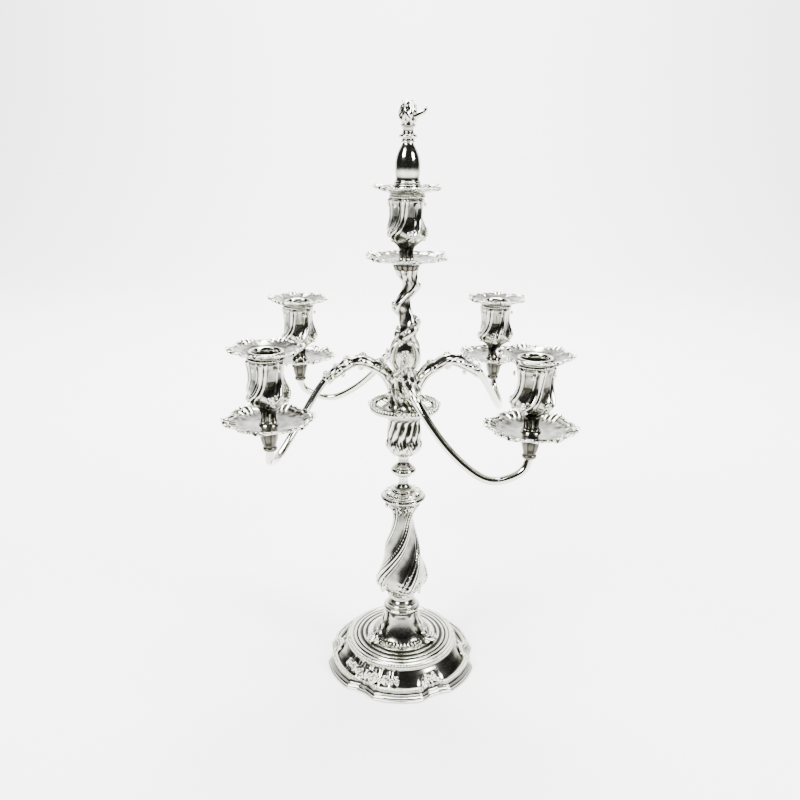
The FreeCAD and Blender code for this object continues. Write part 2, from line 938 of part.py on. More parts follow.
def armCalyx(label):
    foot, top, tall = named("calyxFootRadius"), named("calyxTopRadius"), named("calyxHeight")
    points = [
        (zero, zero),
        (foot, zero),
        (foot + 0.8, 1.6),
        (foot, 3.4),
        (foot + 0.2, 6.0, -0.8),
        (top - 1.6, tall - 3.0),
        (top, tall - 1.2),
        (top, tall),
        (studBore, tall),
        (studBore, tall - 8.0),
        (zero, tall - 8.0),
    ]
    return turned(label, points)


def arm(name):
    angle = armAngles[name]
    pieces = [
        shapeFeature("arm_rod_" + name, armRodShape(), angle),
        shapeFeature("arm_leaf_" + name, armLeafShape(), angle),
    ]
    calyx = armCalyx("arm_calyx_" + name)
    standOnArm(calyx, angle, calyxFoot)
    pan = dripPan("drip_pan_" + name, studBore)
    standOnArm(pan, angle, armSeat)
    cup = candleCup("candle_cup_" + name, studBore, asSize(10.0))
    standOnArm(cup, angle, armSeat + wall)
    nozzle = candleNozzle("nozzle_" + name)
    standOnArm(nozzle, angle, armSeat + nozzleSeat)
    return pieces + [calyx, pan, cup, nozzle]


def armStuds():
    # One threaded stud under each cup holds cup, pan and calyx together.
    studs = []
    for name in armNames:
        stud = doc.addObject("Part::Cylinder", "Stud_" + name)
        bind(stud, "Radius", named("studRadius"))
        bind(stud, "Height", named("studLength"))
        standOnArm(stud, armAngles[name], armSeat - 7.0)
        studs.append(stud)
    group = doc.addObject("Part::Compound", "cup_studs")
    group.Label = "cup_studs"
    group.Links = studs
    return group


# ---- centre light and finial

def centreLight():
    pan = dripPan("drip_pan_centre", branchBore)
    standAt(pan, centreSeat)
    cup = candleCup("candle_cup_centre", branchBore, asSize(11.0))
    standAt(cup, centreSeat + wall)
    nozzle = candleNozzle("nozzle_centre")
    standAt(nozzle, centreSeat + nozzleSeat)
    return [centreCollar(), pan, cup, nozzle]


finialBase = centreSeat + nozzleSeat + wall
vaseTop = finialBase + named("finialVaseHeight")
flameBase = vaseTop + named("finialSpindleHeight")


def finialVase():
    tall, rim = named("finialVaseHeight"), named("finialVaseRadius")
    plug, flange = named("candleRadius") - boreGap, named("finialFlangeRadius")
    neck, stud = named("finialNeckRadius"), named("finialStudRadius") + 0.1
    down = zero - named("finialPlugDepth")
    points = [
        (zero, down),
        (plug - 1.0, down),
        (plug, down + 2.0),
        (plug, zero),
        (flange, zero),
        (flange, 1.4),
        (flange - 2.0, 3.4),
        (flange - 2.4, 5.6),
        (rim + 0.8, 6.4),
        (rim + 0.8, 8.2),
        (rim - 0.8, 9.6, 1.6),
        (rim - 1.8, 29.0, 0.8),
        (neck, tall),
        (stud, tall),
        (stud, tall - 6.0),
        (zero, tall - 6.0),
    ]
    return turned("finial_vase", points, finialBase)


def finialSpindle():
    tall, neck, rim = named("finialSpindleHeight"), named("finialNeckRadius"), named("finialKnopRadius")
    stud = named("finialStudRadius") + 0.1
    points = [
        (stud, zero),
        (neck + 1.0, zero),
        (neck + 1.0, 1.2),
        (neck, 2.2),
        (rim - 0.6, 3.6),
        (rim, 4.8),
        (rim - 0.8, 5.8),
        (neck, 7.6),
        (neck, 9.4),
        (neck + 1.6, 12.4),
        (neck + 1.6, tall),
        (stud, tall),
    ]
    return turned("finial_spindle", points, vaseTop)


def finialFlame():
    tall, rim = named("flameHeight"), named("flameRadius")
    stud = named("finialStudRadius") + 0.1
    points = [
        (stud, zero),
        (named("finialNeckRadius") + 1.4, zero, 1.0),
        (rim, tall * 0.5, 1.2),
        (1.0, tall - 0.6),
        (zero, tall),
        (zero, 5.0),
        (stud, 5.0),
    ]
    return turned("finial_flame", points, flameBase)


def finialStud():
    length = named("finialSpindleHeight") + 10.0
    radius = named("finialStudRadius")
    points = [(zero, zero), (radius, zero), (radius, length), (zero, length)]
    return turned("finial_stud", points, vaseTop - 5.5)


parts = candlestick()
parts += [branchSpigot(), branchPan(), branchHub(), branchRod()] + branchFasteners()
parts += [centreTrunk()] + centreLight()
for name in armNames:
    parts += arm(name)
parts.append(armStuds())
parts += [finialVase(), finialSpindle(), finialFlame(), finialStud()]
doc.recompute()

for thing in doc.Objects:
    bad = [state for state in thing.State if state in ("Invalid", "Error")]
    if bad:
        raise RuntimeError("%s did not build: %s" % (thing.Name, thing.State))
for part in parts:
    if part.Shape.isNull() or not part.Shape.isValid() or part.Shape.Volume <= 0:
        raise RuntimeError("%s has a bad shape" % part.Label)

os.makedirs("parts", exist_ok=True)
for part in parts:
    part.Shape.exportStep("parts/%s.step" % part.Label)
print("%d sub-parts, %.0f mm tall" % (len(parts), (flameBase + named("flameHeight")).value))
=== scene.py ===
import bpy
import bmesh
import json
import numpy
from math import atan2, cos, exp, hypot, pi, radians, sin, tau
from mathutils import Matrix, Vector


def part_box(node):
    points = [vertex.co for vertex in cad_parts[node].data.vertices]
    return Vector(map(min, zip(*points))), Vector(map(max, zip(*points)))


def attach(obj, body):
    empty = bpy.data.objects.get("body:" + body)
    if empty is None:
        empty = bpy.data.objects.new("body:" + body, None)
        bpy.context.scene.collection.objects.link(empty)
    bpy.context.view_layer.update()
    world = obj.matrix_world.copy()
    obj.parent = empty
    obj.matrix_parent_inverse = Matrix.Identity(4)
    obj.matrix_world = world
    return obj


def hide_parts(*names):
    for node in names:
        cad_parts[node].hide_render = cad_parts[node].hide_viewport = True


# A silver five-light candelabra with cast and chased rococo ornament.
# Sizes are in millimetres until a piece is finished; angles run anticlockwise from +X seen from above.
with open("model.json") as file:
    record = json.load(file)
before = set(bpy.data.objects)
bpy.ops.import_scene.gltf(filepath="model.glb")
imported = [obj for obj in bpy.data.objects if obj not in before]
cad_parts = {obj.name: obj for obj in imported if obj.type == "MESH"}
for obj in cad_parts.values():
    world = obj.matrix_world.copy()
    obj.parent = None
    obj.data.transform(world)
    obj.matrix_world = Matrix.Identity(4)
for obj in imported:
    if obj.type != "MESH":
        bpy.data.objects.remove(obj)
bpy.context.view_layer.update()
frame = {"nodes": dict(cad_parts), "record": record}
mm = 0.001
up = Vector((0, 0, 1))
armNames = ("front_left", "front_right", "back_right", "back_left")


def middleOf(node):
    low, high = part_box(node)
    return (Vector(low) + Vector(high)) / 2 / mm


def footOf(node):
    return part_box(node)[0][2] / mm


def topOf(node):
    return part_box(node)[1][2] / mm


# Tools

def smooth(low, high, value):
    share = min(1.0, max(0.0, (value - low) / (high - low)))
    return share * share * (3 - 2 * share)


def bump(value, middle, width):
    return exp(-((value - middle) / width) ** 2)


def turnApart(angle, other):
    return (angle - other + pi) % tau - pi


def outAndAlong(angle):
    # The directions outwards and sideways at this angle.
    return Vector((cos(angle), sin(angle), 0)), Vector((-sin(angle), cos(angle), 0))


def flowing(points, steps=5):
    # A smooth line through the points.
    points = [Vector(p) for p in points]
    out = []
    for i in range(len(points) - 1):
        a, b = points[max(i - 1, 0)], points[i]
        c, d = points[i + 1], points[min(i + 2, len(points) - 1)]
        for k in range(steps):
            t = k / steps
            out.append(0.5 * ((2 * b) + (c - a) * t + (2 * a - 5 * b + 4 * c - d) * t * t
                              + (3 * b - a - 3 * c + d) * t ** 3))
    out.append(points[-1])
    return out


def profileOf(runs, steps=5):
    # Each run is smooth; runs meet at a crisp corner.
    line = []
    for run in runs:
        piece = flowing([(r, 0, z) for r, z in run], steps)
        line += piece if not line or (line[-1] - piece[0]).length > 0.01 else piece[1:]
    return line


def addTurned(bm, runs, around, relief=None, closed=True, steps=5, base=0.0, pole=False):
    # Spins a profile about the upright axis, then raises and sinks its surface.
    line = profileOf(runs, steps)
    verts = [bm.verts.new((p.x, 0, p.z + base)) for p in line]
    edges = [bm.edges.new(pair) for pair in zip(verts, verts[1:])]
    if closed:
        edges.append(bm.edges.new((verts[-1], verts[0])))
    before = set(bm.verts) - set(verts)
    bmesh.ops.spin(bm, geom=verts + edges, cent=(0, 0, 0), axis=(0, 0, 1), angle=tau, steps=around,
                   use_merge=True)
    fresh = [v for v in bm.verts if v not in before]
    if pole:
        bmesh.ops.remove_doubles(bm, verts=fresh, dist=0.002)
        fresh = [v for v in bm.verts if v not in before]
    if relief:
        for v in fresh:
            far = hypot(v.co.x, v.co.y)
            if far < 0.05:
                continue
            angle = atan2(v.co.y, v.co.x)
            out, up = relief(angle, far, v.co.z - base)
            v.co.x += cos(angle) * out
            v.co.y += sin(angle) * out
            v.co.z += up


def addSweep(bm, path, radius, sides=10, squash=1.0, side=None):
    # A closed round bar along a path; radius(share, angle) may vary along and around it.
    path = [Vector(p) for p in path]
    count = len(path)
    across = Vector(side) if side else None
    bar = bmesh.new()
    end = bmesh.ops.create_circle(bar, cap_ends=True, segments=sides, radius=1)["verts"][0].link_faces[0]
    for i, place in enumerate(path):
        ahead = (path[min(i + 1, count - 1)] - path[max(i - 1, 0)]).normalized()
        if across is None:
            across = ahead.orthogonal()
        across = (across - ahead * across.dot(ahead)).normalized()
        over = ahead.cross(across)
        if i > 0:
            end = bmesh.ops.extrude_discrete_faces(bar, faces=[end])["faces"][0]
        for k, v in enumerate(end.verts):
            angle = tau * k / sides
            reach = radius(i / (count - 1), angle)
            v.co = place + across * cos(angle) * reach + over * sin(angle) * reach * squash
    bmesh.ops.holes_fill(bar, edges=[e for e in bar.edges if e.is_boundary], sides=sides)
    mesh = bpy.data.meshes.new("bar")
    bar.to_mesh(mesh)
    bar.free()
    bm.from_mesh(mesh)
    bpy.data.meshes.remove(mesh)


def addBead(bm, place, radius, stretch=(1, 1, 1), fine=2):
    shape = Matrix.Translation(place) @ Matrix.Diagonal((*stretch, 1))
    bmesh.ops.create_icosphere(bm, subdivisions=fine, radius=radius, matrix=shape)


def curl(centre, out, over, size, turns, start):
    # Points of a flat scroll that winds in to its eye; out and over span its plane.
    points = []
    steps = int(16 * turns)
    for i in range(steps + 1):
        share = i / steps
        reach = size * (1 - 0.82 * share)
        angle = start + tau * turns * share
        points.append(centre + out * cos(angle) * reach + over * sin(angle) * reach)
    return points


def addCurl(bm, centre, out, over, size, thick, turns=1.3, start=0.0):
    points = curl(centre, out, over, size, turns, start)
    addSweep(bm, points, lambda s, a: thick * (0.45 + 0.75 * smooth(0, 0.5, s)), 8)
    addBead(bm, points[-1], thick * 1.35, fine=2)


def addArc(bm, far, high, middle, half, rise, thick, sink=0.0):
    # A C-scroll lying along a rim, with curled eyes at both ends.
    points = []
    for i in range(25):
        t = -1 + i / 12
        angle = middle + half * t
        reach = far + rise * (1 - t * t) - 0.5
        points.append((cos(angle) * reach, sin(angle) * reach, high - sink * abs(t) ** 3))
    addSweep(bm, points, lambda s, a: thick * (0.65 + 0.5 * sin(pi * s)), 8)
    for end in (0, -1):
        addBead(bm, Vector(points[end]), thick * 1.35)


def hollowsOf(bm):
    # How deep in a crease each point sits, from 0 on open metal to 1 in a tight recess; the silver finishes
    # darken their colour by it, partly as tarnish and partly as painted shade.
    layer = bm.verts.layers.float.new("hollow")
    bm.normal_update()
    bm.verts.index_update()
    count = len(bm.verts)
    place = numpy.array([v.co for v in bm.verts])
    facing = numpy.array([v.normal for v in bm.verts])
    pairs = numpy.array([(e.verts[0].index, e.verts[1].index) for e in bm.edges])
    one, other = numpy.concatenate([pairs, pairs[:, ::-1]]).T
    number = numpy.maximum(1, numpy.bincount(one, minlength=count))
    mean = numpy.stack([numpy.bincount(one, place[other, k], count) for k in range(3)], 1) / number[:, None]
    reach = numpy.bincount(one, numpy.linalg.norm(place[other] - place[one], axis=1), count) / number + 1e-6
    raw = ((mean - place) * facing).sum(1) / reach
    for _ in range(2):
        raw = 0.5 * raw + 0.5 * numpy.bincount(one, raw[other], count) / number
    for v, depth in zip(bm.verts, numpy.clip(0.5 + 3.2 * raw, 0, 1)):
        v[layer] = depth


def finishPiece(bm, name, body, nodes, finish, places=None):
    # Turns a sketch in millimetres into a finished piece for each place (x, y, z, turn).
    bmesh.ops.recalc_face_normals(bm, faces=bm.faces)
    hollowsOf(bm)
    for label, spot, itsBody, itsNodes in places or [(name, (0, 0, 0, 0), body, nodes)]:
        x, y, z, turn = spot
        copy = bm.copy()
        bmesh.ops.transform(copy, verts=copy.verts, matrix=Matrix.Diagonal((mm, mm, mm, 1))
                            @ Matrix.Translation((x, y, z)) @ Matrix.Rotation(turn, 4, "Z"))
        mesh = bpy.data.meshes.new(label)
        copy.to_mesh(mesh)
        copy.free()
        mesh.polygons.foreach_set("use_smooth", [True] * len(mesh.polygons))
        piece = bpy.data.objects.new(label, mesh)
        bpy.context.scene.collection.objects.link(piece)
        mesh.materials.append(finishes[finish])
        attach(piece, itsBody)
        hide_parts(*itsNodes)
    print(name, "made:", len(bm.faces), "faces")
    bm.free()


slotOf = {s["node"]: s["material_slot"] for s in frame["record"]["subparts"]}

# Finishes

silverLook = {
    "bright": (0.60, 0.60, 0.53),
    "shade": (0.018, 0.017, 0.012),
    "recessRough": 0.45,
    "cloudSize": 90.0,
    "cloudShare": 0.22,
    "scratch": 0.06,
    "scratchSize": 420.0,
}


def makeSilver(name, tarnishAndShade, rough, bright=None):
    # Polished silver, darkened in its recesses partly as tarnish and partly as painted shade, with faint
    # handling marks.
    look = silverLook
    material = bpy.data.materials.new(name)
    material.use_nodes = True
    nodes, links = material.node_tree.nodes, material.node_tree.links
    shader = nodes["Principled BSDF"]
    shader.inputs["Metallic"].default_value = 1.0
    where = nodes.new("ShaderNodeTexCoord")
    hollow = nodes.new("ShaderNodeAttribute")
    hollow.attribute_name = "hollow"
    cloud = nodes.new("ShaderNodeTexNoise")
    cloud.inputs["Scale"].default_value = look["cloudSize"]
    cloud.inputs["Detail"].default_value = 5.0
    links.new(where.outputs["Object"], cloud.inputs["Vector"])
    mix = nodes.new("ShaderNodeMath")
    mix.operation = "MULTIPLY_ADD"
    mix.inputs[1].default_value = look["cloudShare"]
    links.new(cloud.outputs["Fac"], mix.inputs[0])
    links.new(hollow.outputs["Fac"], mix.inputs[2])
    # The ramp paints tarnish and shade into the base colour: crests and open metal stay bright, while
    # creases and recesses go dark.
    ramp = nodes.new("ShaderNodeValToRGB")
    ramp.color_ramp.elements[0].position = 0.53 - 0.06 * tarnishAndShade
    ramp.color_ramp.elements[0].color = (*(bright or look["bright"]), 1)
    ramp.color_ramp.elements[1].position = 0.86 - 0.16 * tarnishAndShade
    ramp.color_ramp.elements[1].color = (*look["shade"], 1)
    links.new(mix.outputs[0], ramp.inputs[0])
    links.new(ramp.outputs[0], shader.inputs["Base Color"])
    shine = nodes.new("ShaderNodeMapRange")
    shine.inputs["From Min"].default_value = 0.55
    shine.inputs["From Max"].default_value = 1.05
    shine.inputs["To Min"].default_value = rough
    shine.inputs["To Max"].default_value = look["recessRough"]
    links.new(mix.outputs[0], shine.inputs["Value"])
    links.new(shine.outputs[0], shader.inputs["Roughness"])
    stretch = nodes.new("ShaderNodeMapping")
    stretch.inputs["Scale"].default_value = (1.0, 1.0, 6.0)
    links.new(where.outputs["Object"], stretch.inputs["Vector"])
    scratch = nodes.new("ShaderNodeTexNoise")
    scratch.inputs["Scale"].default_value = look["scratchSize"]
    scratch.inputs["Detail"].default_value = 8.0
    links.new(stretch.outputs[0], scratch.inputs["Vector"])
    dent = nodes.new("ShaderNodeBump")
    dent.inputs["Strength"].default_value = look["scratch"]
    dent.inputs["Distance"].default_value = 0.0006
    links.new(scratch.outputs["Fac"], dent.inputs["Height"])
    links.new(dent.outputs[0], shader.inputs["Normal"])
    return material


def makeMatte(name, colour, rough, grain, metal=0.0):
    material = bpy.data.materials.new(name)
    material.use_nodes = True
    nodes, links = material.node_tree.nodes, material.node_tree.links
    shader = nodes["Principled BSDF"]
    shader.inputs["Metallic"].default_value = metal
    shader.inputs["Roughness"].default_value = rough
    where = nodes.new("ShaderNodeTexCoord")
    noise = nodes.new("ShaderNodeTexNoise")
    noise.inputs["Scale"].default_value = grain
    noise.inputs["Detail"].default_value = 6.0
    links.new(where.outputs["Object"], noise.inputs["Vector"])
    ramp = nodes.new("ShaderNodeValToRGB")
    ramp.color_ramp.elements[0].color = (*[c * 0.7 for c in colour], 1)
    ramp.color_ramp.elements[1].color = (*colour, 1)
    links.new(noise.outputs["Fac"], ramp.inputs[0])
    links.new(ramp.outputs[0], shader.inputs["Base Color"])
    dent = nodes.new("ShaderNodeBump")
    dent.inputs["Strength"].default_value = 0.3
    dent.inputs["Distance"].default_value = 0.0004
    links.new(noise.outputs["Fac"], dent.inputs["Height"])
    links.new(dent.outputs[0], shader.inputs["Normal"])
    return material


finishes = {
    "plain": makeSilver("plain silver", 0.2, 0.09),
    "chased": makeSilver("chased silver", 1.0, 0.12),
    # This finish paints shade into the colour: near-black silver for the shaded undersides beneath the drip
    # pans, with recesses darkened further as tarnish and painted shade.
    "paintedShade": makeSilver("silver painted in shade", 1.3, 0.26, (0.10, 0.095, 0.08)),
    "steel": makeMatte("steel", (0.45, 0.45, 0.46), 0.35, 300, 1.0),
    "sheet": makeMatte("sheet brass", (0.6, 0.48, 0.26), 0.35, 200, 1.0),
    "filling": makeMatte("filling", (0.36, 0.33, 0.28), 0.9, 150),
    "baize": makeMatte("baize", (0.06, 0.2, 0.1), 0.95, 900),
}
slotFinish = {"steel": "steel", "plate_metal": "sheet", "filling": "filling", "baize": "baize"}
for node, piece in frame["nodes"].items():
    for place in piece.material_slots:
        place.material = finishes[slotFinish.get(slotOf[node], "plain")]
print("finishes made")

# Foot

foot = {
    "lobes": [radians(-92 + 60 * k) for k in range(6)],
    "notchDepth": 4.0,
    "around": 480,
    "gadroons": 144,
    "upperGadroons": 114,
    "flowers": [(-120, 57.5), (-133, 58.5), (-109, 58.2), (-145, 57.0), (-98, 57.6)],
}


def notchShare(angle):
    # 1 in the middle of a hollow between two lobes, 0 on a lobe.
    near = min(abs(turnApart(angle, lobe + radians(30))) for lobe in foot["lobes"])
    return 1 - smooth(radians(3.0), radians(13.5), near)


def footRelief(angle, far, high):
    notch = notchShare(angle)
    pull = foot["notchDepth"] * notch * smooth(54, 63, far)
    out, up = -pull, 0.0
    if far < 50 and high < 24:
        return out, up
    lower = bump(far, 64.6, 2.6) * smooth(5.4, 6.8, high)
    shell = smooth(0.45, 0.95, notch)
    fan = 0.5 + 0.5 * cos(angle * 100)
    up += lower * shell * (0.6 + 1.5 * fan)
    if far > 52 and high > 7.0:
        for turn, reach in foot["flowers"]:
            along = turnApart(angle, radians(turn)) * far
            across = (far - reach) * 1.0 + (high - 11) * 0.9
            apart = hypot(along, across)
            petal = 0.55 + 0.45 * cos(5 * atan2(across, along))
            out += 1.3 * exp(-(apart / (3.2 * (0.4 + 0.6 * petal))) ** 2) - 0.4 * bump(apart, 4.8, 0.8)
    return out, up


bm = bmesh.new()
addTurned(bm, [
    [(24, 27.0), (44, 25.4), (47, 21.5), (51.5, 16), (55.5, 7.0)],
    [(55.5, 7.0), (61, 4.8), (64.2, 4.6)],
    [(64.2, 4.6), (64.2, 0.1)],
    [(64.2, 0.1), (71.9, 0.1)],
    [(71.9, 0.1), (72.0, 1.4)],
    [(72.0, 1.4), (71.2, 1.7)],
    [(71.2, 1.7), (71.0, 3.0), (69.8, 3.9), (68.6, 4.1)],
    [(68.6, 4.1), (68.5, 5.0), (67.4, 5.6)],
    [(67.4, 5.6), (66.9, 6.6), (66.3, 8.6), (64.5, 9.7), (62.6, 9.0), (62.0, 8.2)],
    [(62.0, 8.2), (61.2, 8.6), (59.8, 10.0), (57.6, 12.6), (55.4, 15.6), (53.4, 18.2), (52.2, 19.8)],
    [(52.2, 19.8), (52.1, 21.8), (51.2, 24.6), (49.4, 26.0), (47.6, 25.9), (46.6, 25.5)],
    [(46.6, 25.5), (45.4, 26.4), (42, 26.6)],
    [(42, 26.6), (41.7, 26.8), (37, 27.3)],
    [(37, 27.3), (36.7, 27.5), (32, 28.0)],
    [(32, 28.0), (31.7, 28.2), (24, 28.8)],
], foot["around"], footRelief, steps=3)
for k in range(foot["gadroons"]):
    angle = tau * k / foot["gadroons"]
    if notchShare(angle) > 0.8:
        continue
    far = 66.3 - foot["notchDepth"] * notchShare(angle)
    shape = Matrix.Translation((cos(angle) * far, sin(angle) * far, 8.8)) @ Matrix.Rotation(angle, 4, "Z")
    shape = shape @ Matrix.Rotation(radians(28), 4, "Y") @ Matrix.Diagonal((1.15, 0.92, 1.75, 1))
    bmesh.ops.create_icosphere(bm, subdivisions=2, radius=1.45, matrix=shape)
for k in range(foot["upperGadroons"]):
    angle = tau * k / foot["upperGadroons"]
    shape = Matrix.Translation((cos(angle) * 51.6, sin(angle) * 51.6, 23.6)) @ Matrix.Rotation(angle, 4, "Z")
    shape = shape @ Matrix.Rotation(radians(-24), 4, "Y") @ Matrix.Diagonal((1.1, 0.92, 1.9, 1))
    bmesh.ops.create_icosphere(bm, subdivisions=2, radius=1.4, matrix=shape)
for turn, reach in (foot["flowers"] + [(-62, 58.0), (-2, 58.0), (58, 58.0), (118, 58.0), (178, 58.0)]):
    out, along = outAndAlong(radians(turn))
    slope = (out * -0.55 + up * 0.83).normalized()
    seat = out * (reach + 0.6) + up * 12.6
    for k in range(5):
        a = tau * k / 5 + turn
        addBead(bm, seat + along * 2.0 * cos(a) + slope * 2.0 * sin(a), 1.35, (1, 1, 0.9), 2)
    addBead(bm, seat + out * 0.7, 1.1)
    for way in (-1, 1):
        addCurl(bm, seat + along * way * 5.0 - slope * 1.0, along * way, slope, 2.7, 0.75, 1.4, 0.8)
        addCurl(bm, seat + along * way * 4.0 + slope * 3.6, along * way, slope, 1.9, 0.6, 1.2, 2.2)
for lobe in foot["lobes"]:
    # a shell between two scrolls in each hollow of the edge
    angle = lobe + radians(30)
    out, along = outAndAlong(angle)
    slope = (out * -0.8 + up * 0.6).normalized()
    seat = out * 60.4 + up * 9.4
    for way in (-1, 1):
        addCurl(bm, seat + along * way * 7.0 + out * 0.6, along * way, slope, 3.0, 1.05, 1.4, 0.4)
    for k in range(5):
        lean = (k - 2) * 0.42
        addSweep(bm, flowing([seat - slope * 0.5, seat + slope * 3.0 * cos(lean) + along * 3.4 * sin(lean)
                              + out * 1.0,
                              seat + slope * 6.0 * cos(lean) + along * 6.4 * sin(lean)], 4),
                 lambda s, a: 0.5 + 0.9 * s, 8)
finishPiece(bm, "foot", "stick", ["foot_shell", "foot_lower_border", "foot_upper_border"], "chased")

# Bell neck

neck = {"flutes": 3, "fluteDepth": 0.8, "strapAngles": (-150, -30, 90), "around": 288}


def neckRelief(angle, far, high):
    wave = 0.5 - 0.5 * cos(neck["flutes"] * (angle + radians(90)) * 2)
    body = smooth(31, 36, high) * (1 - smooth(52, 55, high))
    fringe = bump(high, 30.2, 1.2) * 0.6 * cos(48 * angle)
    beads = bump(high, 58.3, 1.1) * 0.5 * abs(cos(20 * angle))
    return body * neck["fluteDepth"] * (wave ** 2 - 0.4) + fringe + beads, 0


def addStrap(bm, turn, spread):
    # A leafy scroll that climbs the bell and curls over at its foot.
    out, along = outAndAlong(radians(turn))
    shape = [(36.5, 29.4), (30.5, 31.2), (25.6, 35.5), (22.2, 42), (19.4, 49), (17.0, 56)]
    path = flowing([out * r + along * spread * (1 - i / 5) + up * z for i, (r, z) in enumerate(shape)], 6)
    addSweep(bm, path, lambda s, a: (3.6 - 1.9 * s) * (0.8 + 0.26 * cos(3 * a + 22 * s)), 14, 0.7, along)
    addCurl(bm, out * 36.0 + up * 31.8 + along * spread, out, up, 3.0, 1.0)
    for way in (-1, 1):
        addCurl(bm, out * 31 + up * 30.6 + along * (spread + way * 5.5), along * way, out, 3.4, 1.0)
    for k, share in enumerate((0.25, 0.45, 0.65)):
        place = path[int(share * (len(path) - 1))]
        for way in (-1, 1):
            addCurl(bm, place + along * way * (4.2 - k * 0.8) + out * 0.3, along * way, up,
                    2.9 - 0.5 * k, 0.8, 1.2)


bm = bmesh.new()
addTurned(bm, [
    [(4, 28.9), (27.6, 28.9)],
    [(27.6, 28.9), (27.4, 30.0), (25.4, 31.4), (22.6, 34.6), (20.4, 39), (18.2, 45), (16.6, 51), (15.5, 56)],
    [(15.5, 56), (16.7, 57.0), (17.0, 58.4), (16.4, 59.8), (15.0, 60.4)],
    [(15.0, 60.4), (4, 60.4)],
], neck["around"], neckRelief)
for turn in neck["strapAngles"]:
    addStrap(bm, turn, 1.5)
finishPiece(bm, "bell_neck", "stick", ["foot_neck"], "chased")

bm = bmesh.new()
addTurned(bm, [
    [(4, 60.5), (13.2, 60.5)],
    [(13.2, 60.5), (14.0, 61.4), (14.0, 62.8), (12.9, 63.8)],
    [(12.9, 63.8), (11.2, 64.6), (9.7, 66.4), (9.2, 68.4)],
    [(9.2, 68.4), (10.0, 69.0), (9.8, 69.5)],
    [(9.8, 69.5), (4, 69.5)],
], 120, lambda a, r, z: (0.35 * bump(z, 62.2, 1.0) * abs(cos(14 * a)), 0))
finishPiece(bm, "neck_collar", "stick", ["neck_collar"], "plain")
print("foot and neck done")

# Baluster

baluster = {"flutes": 4, "twist": radians(150), "low": 69.5, "high": 173.0, "rib": 2.6, "dish": 1.0,
            "around": 300}


def balusterRelief(angle, far, high):
    share = (high - baluster["low"]) / (baluster["high"] - baluster["low"])
    turn = angle - baluster["twist"] * share + 0.22 * sin(share * tau)
    wave = cos(baluster["flutes"] * turn)
    body = smooth(0.05, 0.16, share) * (1 - smooth(0.9, 0.985, share))
    strength = body * (0.45 + 0.55 * min(1.0, far / 22.0))
    rib = max(0.0, wave) ** 9
    second = max(0.0, cos(baluster["flutes"] * turn - 0.85)) ** 22
    third = max(0.0, cos(baluster["flutes"] * turn + 0.75)) ** 40
    bead = 0.45 * third * sin(high * 1.25) ** 2
    out = strength * (baluster["rib"] * (rib + 0.5 * second + 0.3 * third + bead)
                      - baluster["dish"] * max(0.0, -wave) ** 0.6)
    foliage = smooth(0.27, 0.1, share) * smooth(0.0, 0.04, share)
    leaf = max(0.0, cos(baluster["flutes"] * turn + 9 * (share - 0.1)))
    out += foliage * 1.4 * leaf * abs(sin(high * 0.55 + 2 * angle))
    crest = bump(share, 0.93, 0.05)
    out += crest * 1.3 * max(0.0, cos(14 * angle + 0.6 * sin(high))) ** 2
    return out, 0


bm = bmesh.new()
addTurned(bm, [
    [(4, 69.6), (10.6, 69.6)],
    [(10.6, 69.6), (11.6, 70.6), (11.2, 72.2)],
    [(11.2, 72.2), (14.6, 75.5), (19.4, 80.5), (22.4, 86.5), (22.8, 92.5), (21.2, 100), (18.6, 108.7),
     (15.9, 118.5),
     (13.2, 128), (10.8, 139), (9.6, 149), (10.2, 157), (12.8, 164.0), (16.4, 169.3), (19.0, 172.2)],
    [(19.3, 172.2), (20.6, 173.2), (20.7, 174.6), (19.6, 175.8)],
    [(19.6, 175.8), (17.6, 176.9), (4, 176.9)],
], baluster["around"], balusterRelief, steps=8)
for k in range(4):
    angle = tau * k / 4 + 0.45
    for shift, high, far, size in ((0.0, 81, 20.6, 3.6), (0.32, 86, 22.6, 2.8), (-0.30, 78, 18.4, 2.6),
                                   (0.16, 93, 23.2, 2.2), (0.55, 80, 20.0, 2.4)):
        turn = angle + shift
        out, along = outAndAlong(turn)
        addCurl(bm, out * far + up * high, along, up, size, size * 0.32, 1.4, 0.6 + shift * 4)
        addBead(bm, out * (far - 0.2) + along * 2.6 + up * (high + 3.4), size * 0.42)
    out, along = outAndAlong(angle)
    addCurl(bm, out * 17.0 + up * 167.5, along, up, 2.6, 0.85, 1.3, 2.0)
finishPiece(bm, "baluster", "stick", ["stem_baluster"], "chased")

bm = bmesh.new()
addTurned(bm, [
    [(3.2, 177.0), (17.4, 177.0)],
    [(17.4, 177.0), (17.2, 178.2), (15.4, 179.4), (12.2, 180.2), (10.6, 180.4)],
    [(10.6, 180.4), (10.8, 181.6), (9.8, 182.4)],
    [(9.8, 182.4), (7.0, 183.4), (4.9, 186.0), (4.2, 189.0), (4.3, 192.0)],
    [(4.3, 192.0), (3.2, 192.0)],
], 168, lambda a, r, z: (0, 0.5 * smooth(11, 13, r) * smooth(177.4, 178, z) * max(0, cos(14 * a))))
finishPiece(bm, "stem_cap", "stick", ["stem_cap"], "plain")

bm = bmesh.new()
addTurned(bm, [
    [(3.2, 192.1), (4.4, 192.1), (4.2, 194.6)],
    [(4.2, 194.6), (7.4, 195.4), (7.8, 196.4), (6.8, 197.2)],
    [(6.8, 197.2), (10.4, 197.8), (11.8, 200.0), (10.9, 202.4), (8.6, 203.4)],
    [(8.6, 203.4), (8.9, 204.4), (7.4, 205.4)],
    [(7.4, 205.4), (5.4, 207.2), (4.6, 210.5), (5.0, 213.9)],
    [(5.0, 213.9), (3.2, 213.9)],
], 120)
finishPiece(bm, "stem_knop", "stick", ["stem_knop"], "plain")

# The candlestick's socket

urn = {"leaves": 8, "flutes": 14, "around": 192}


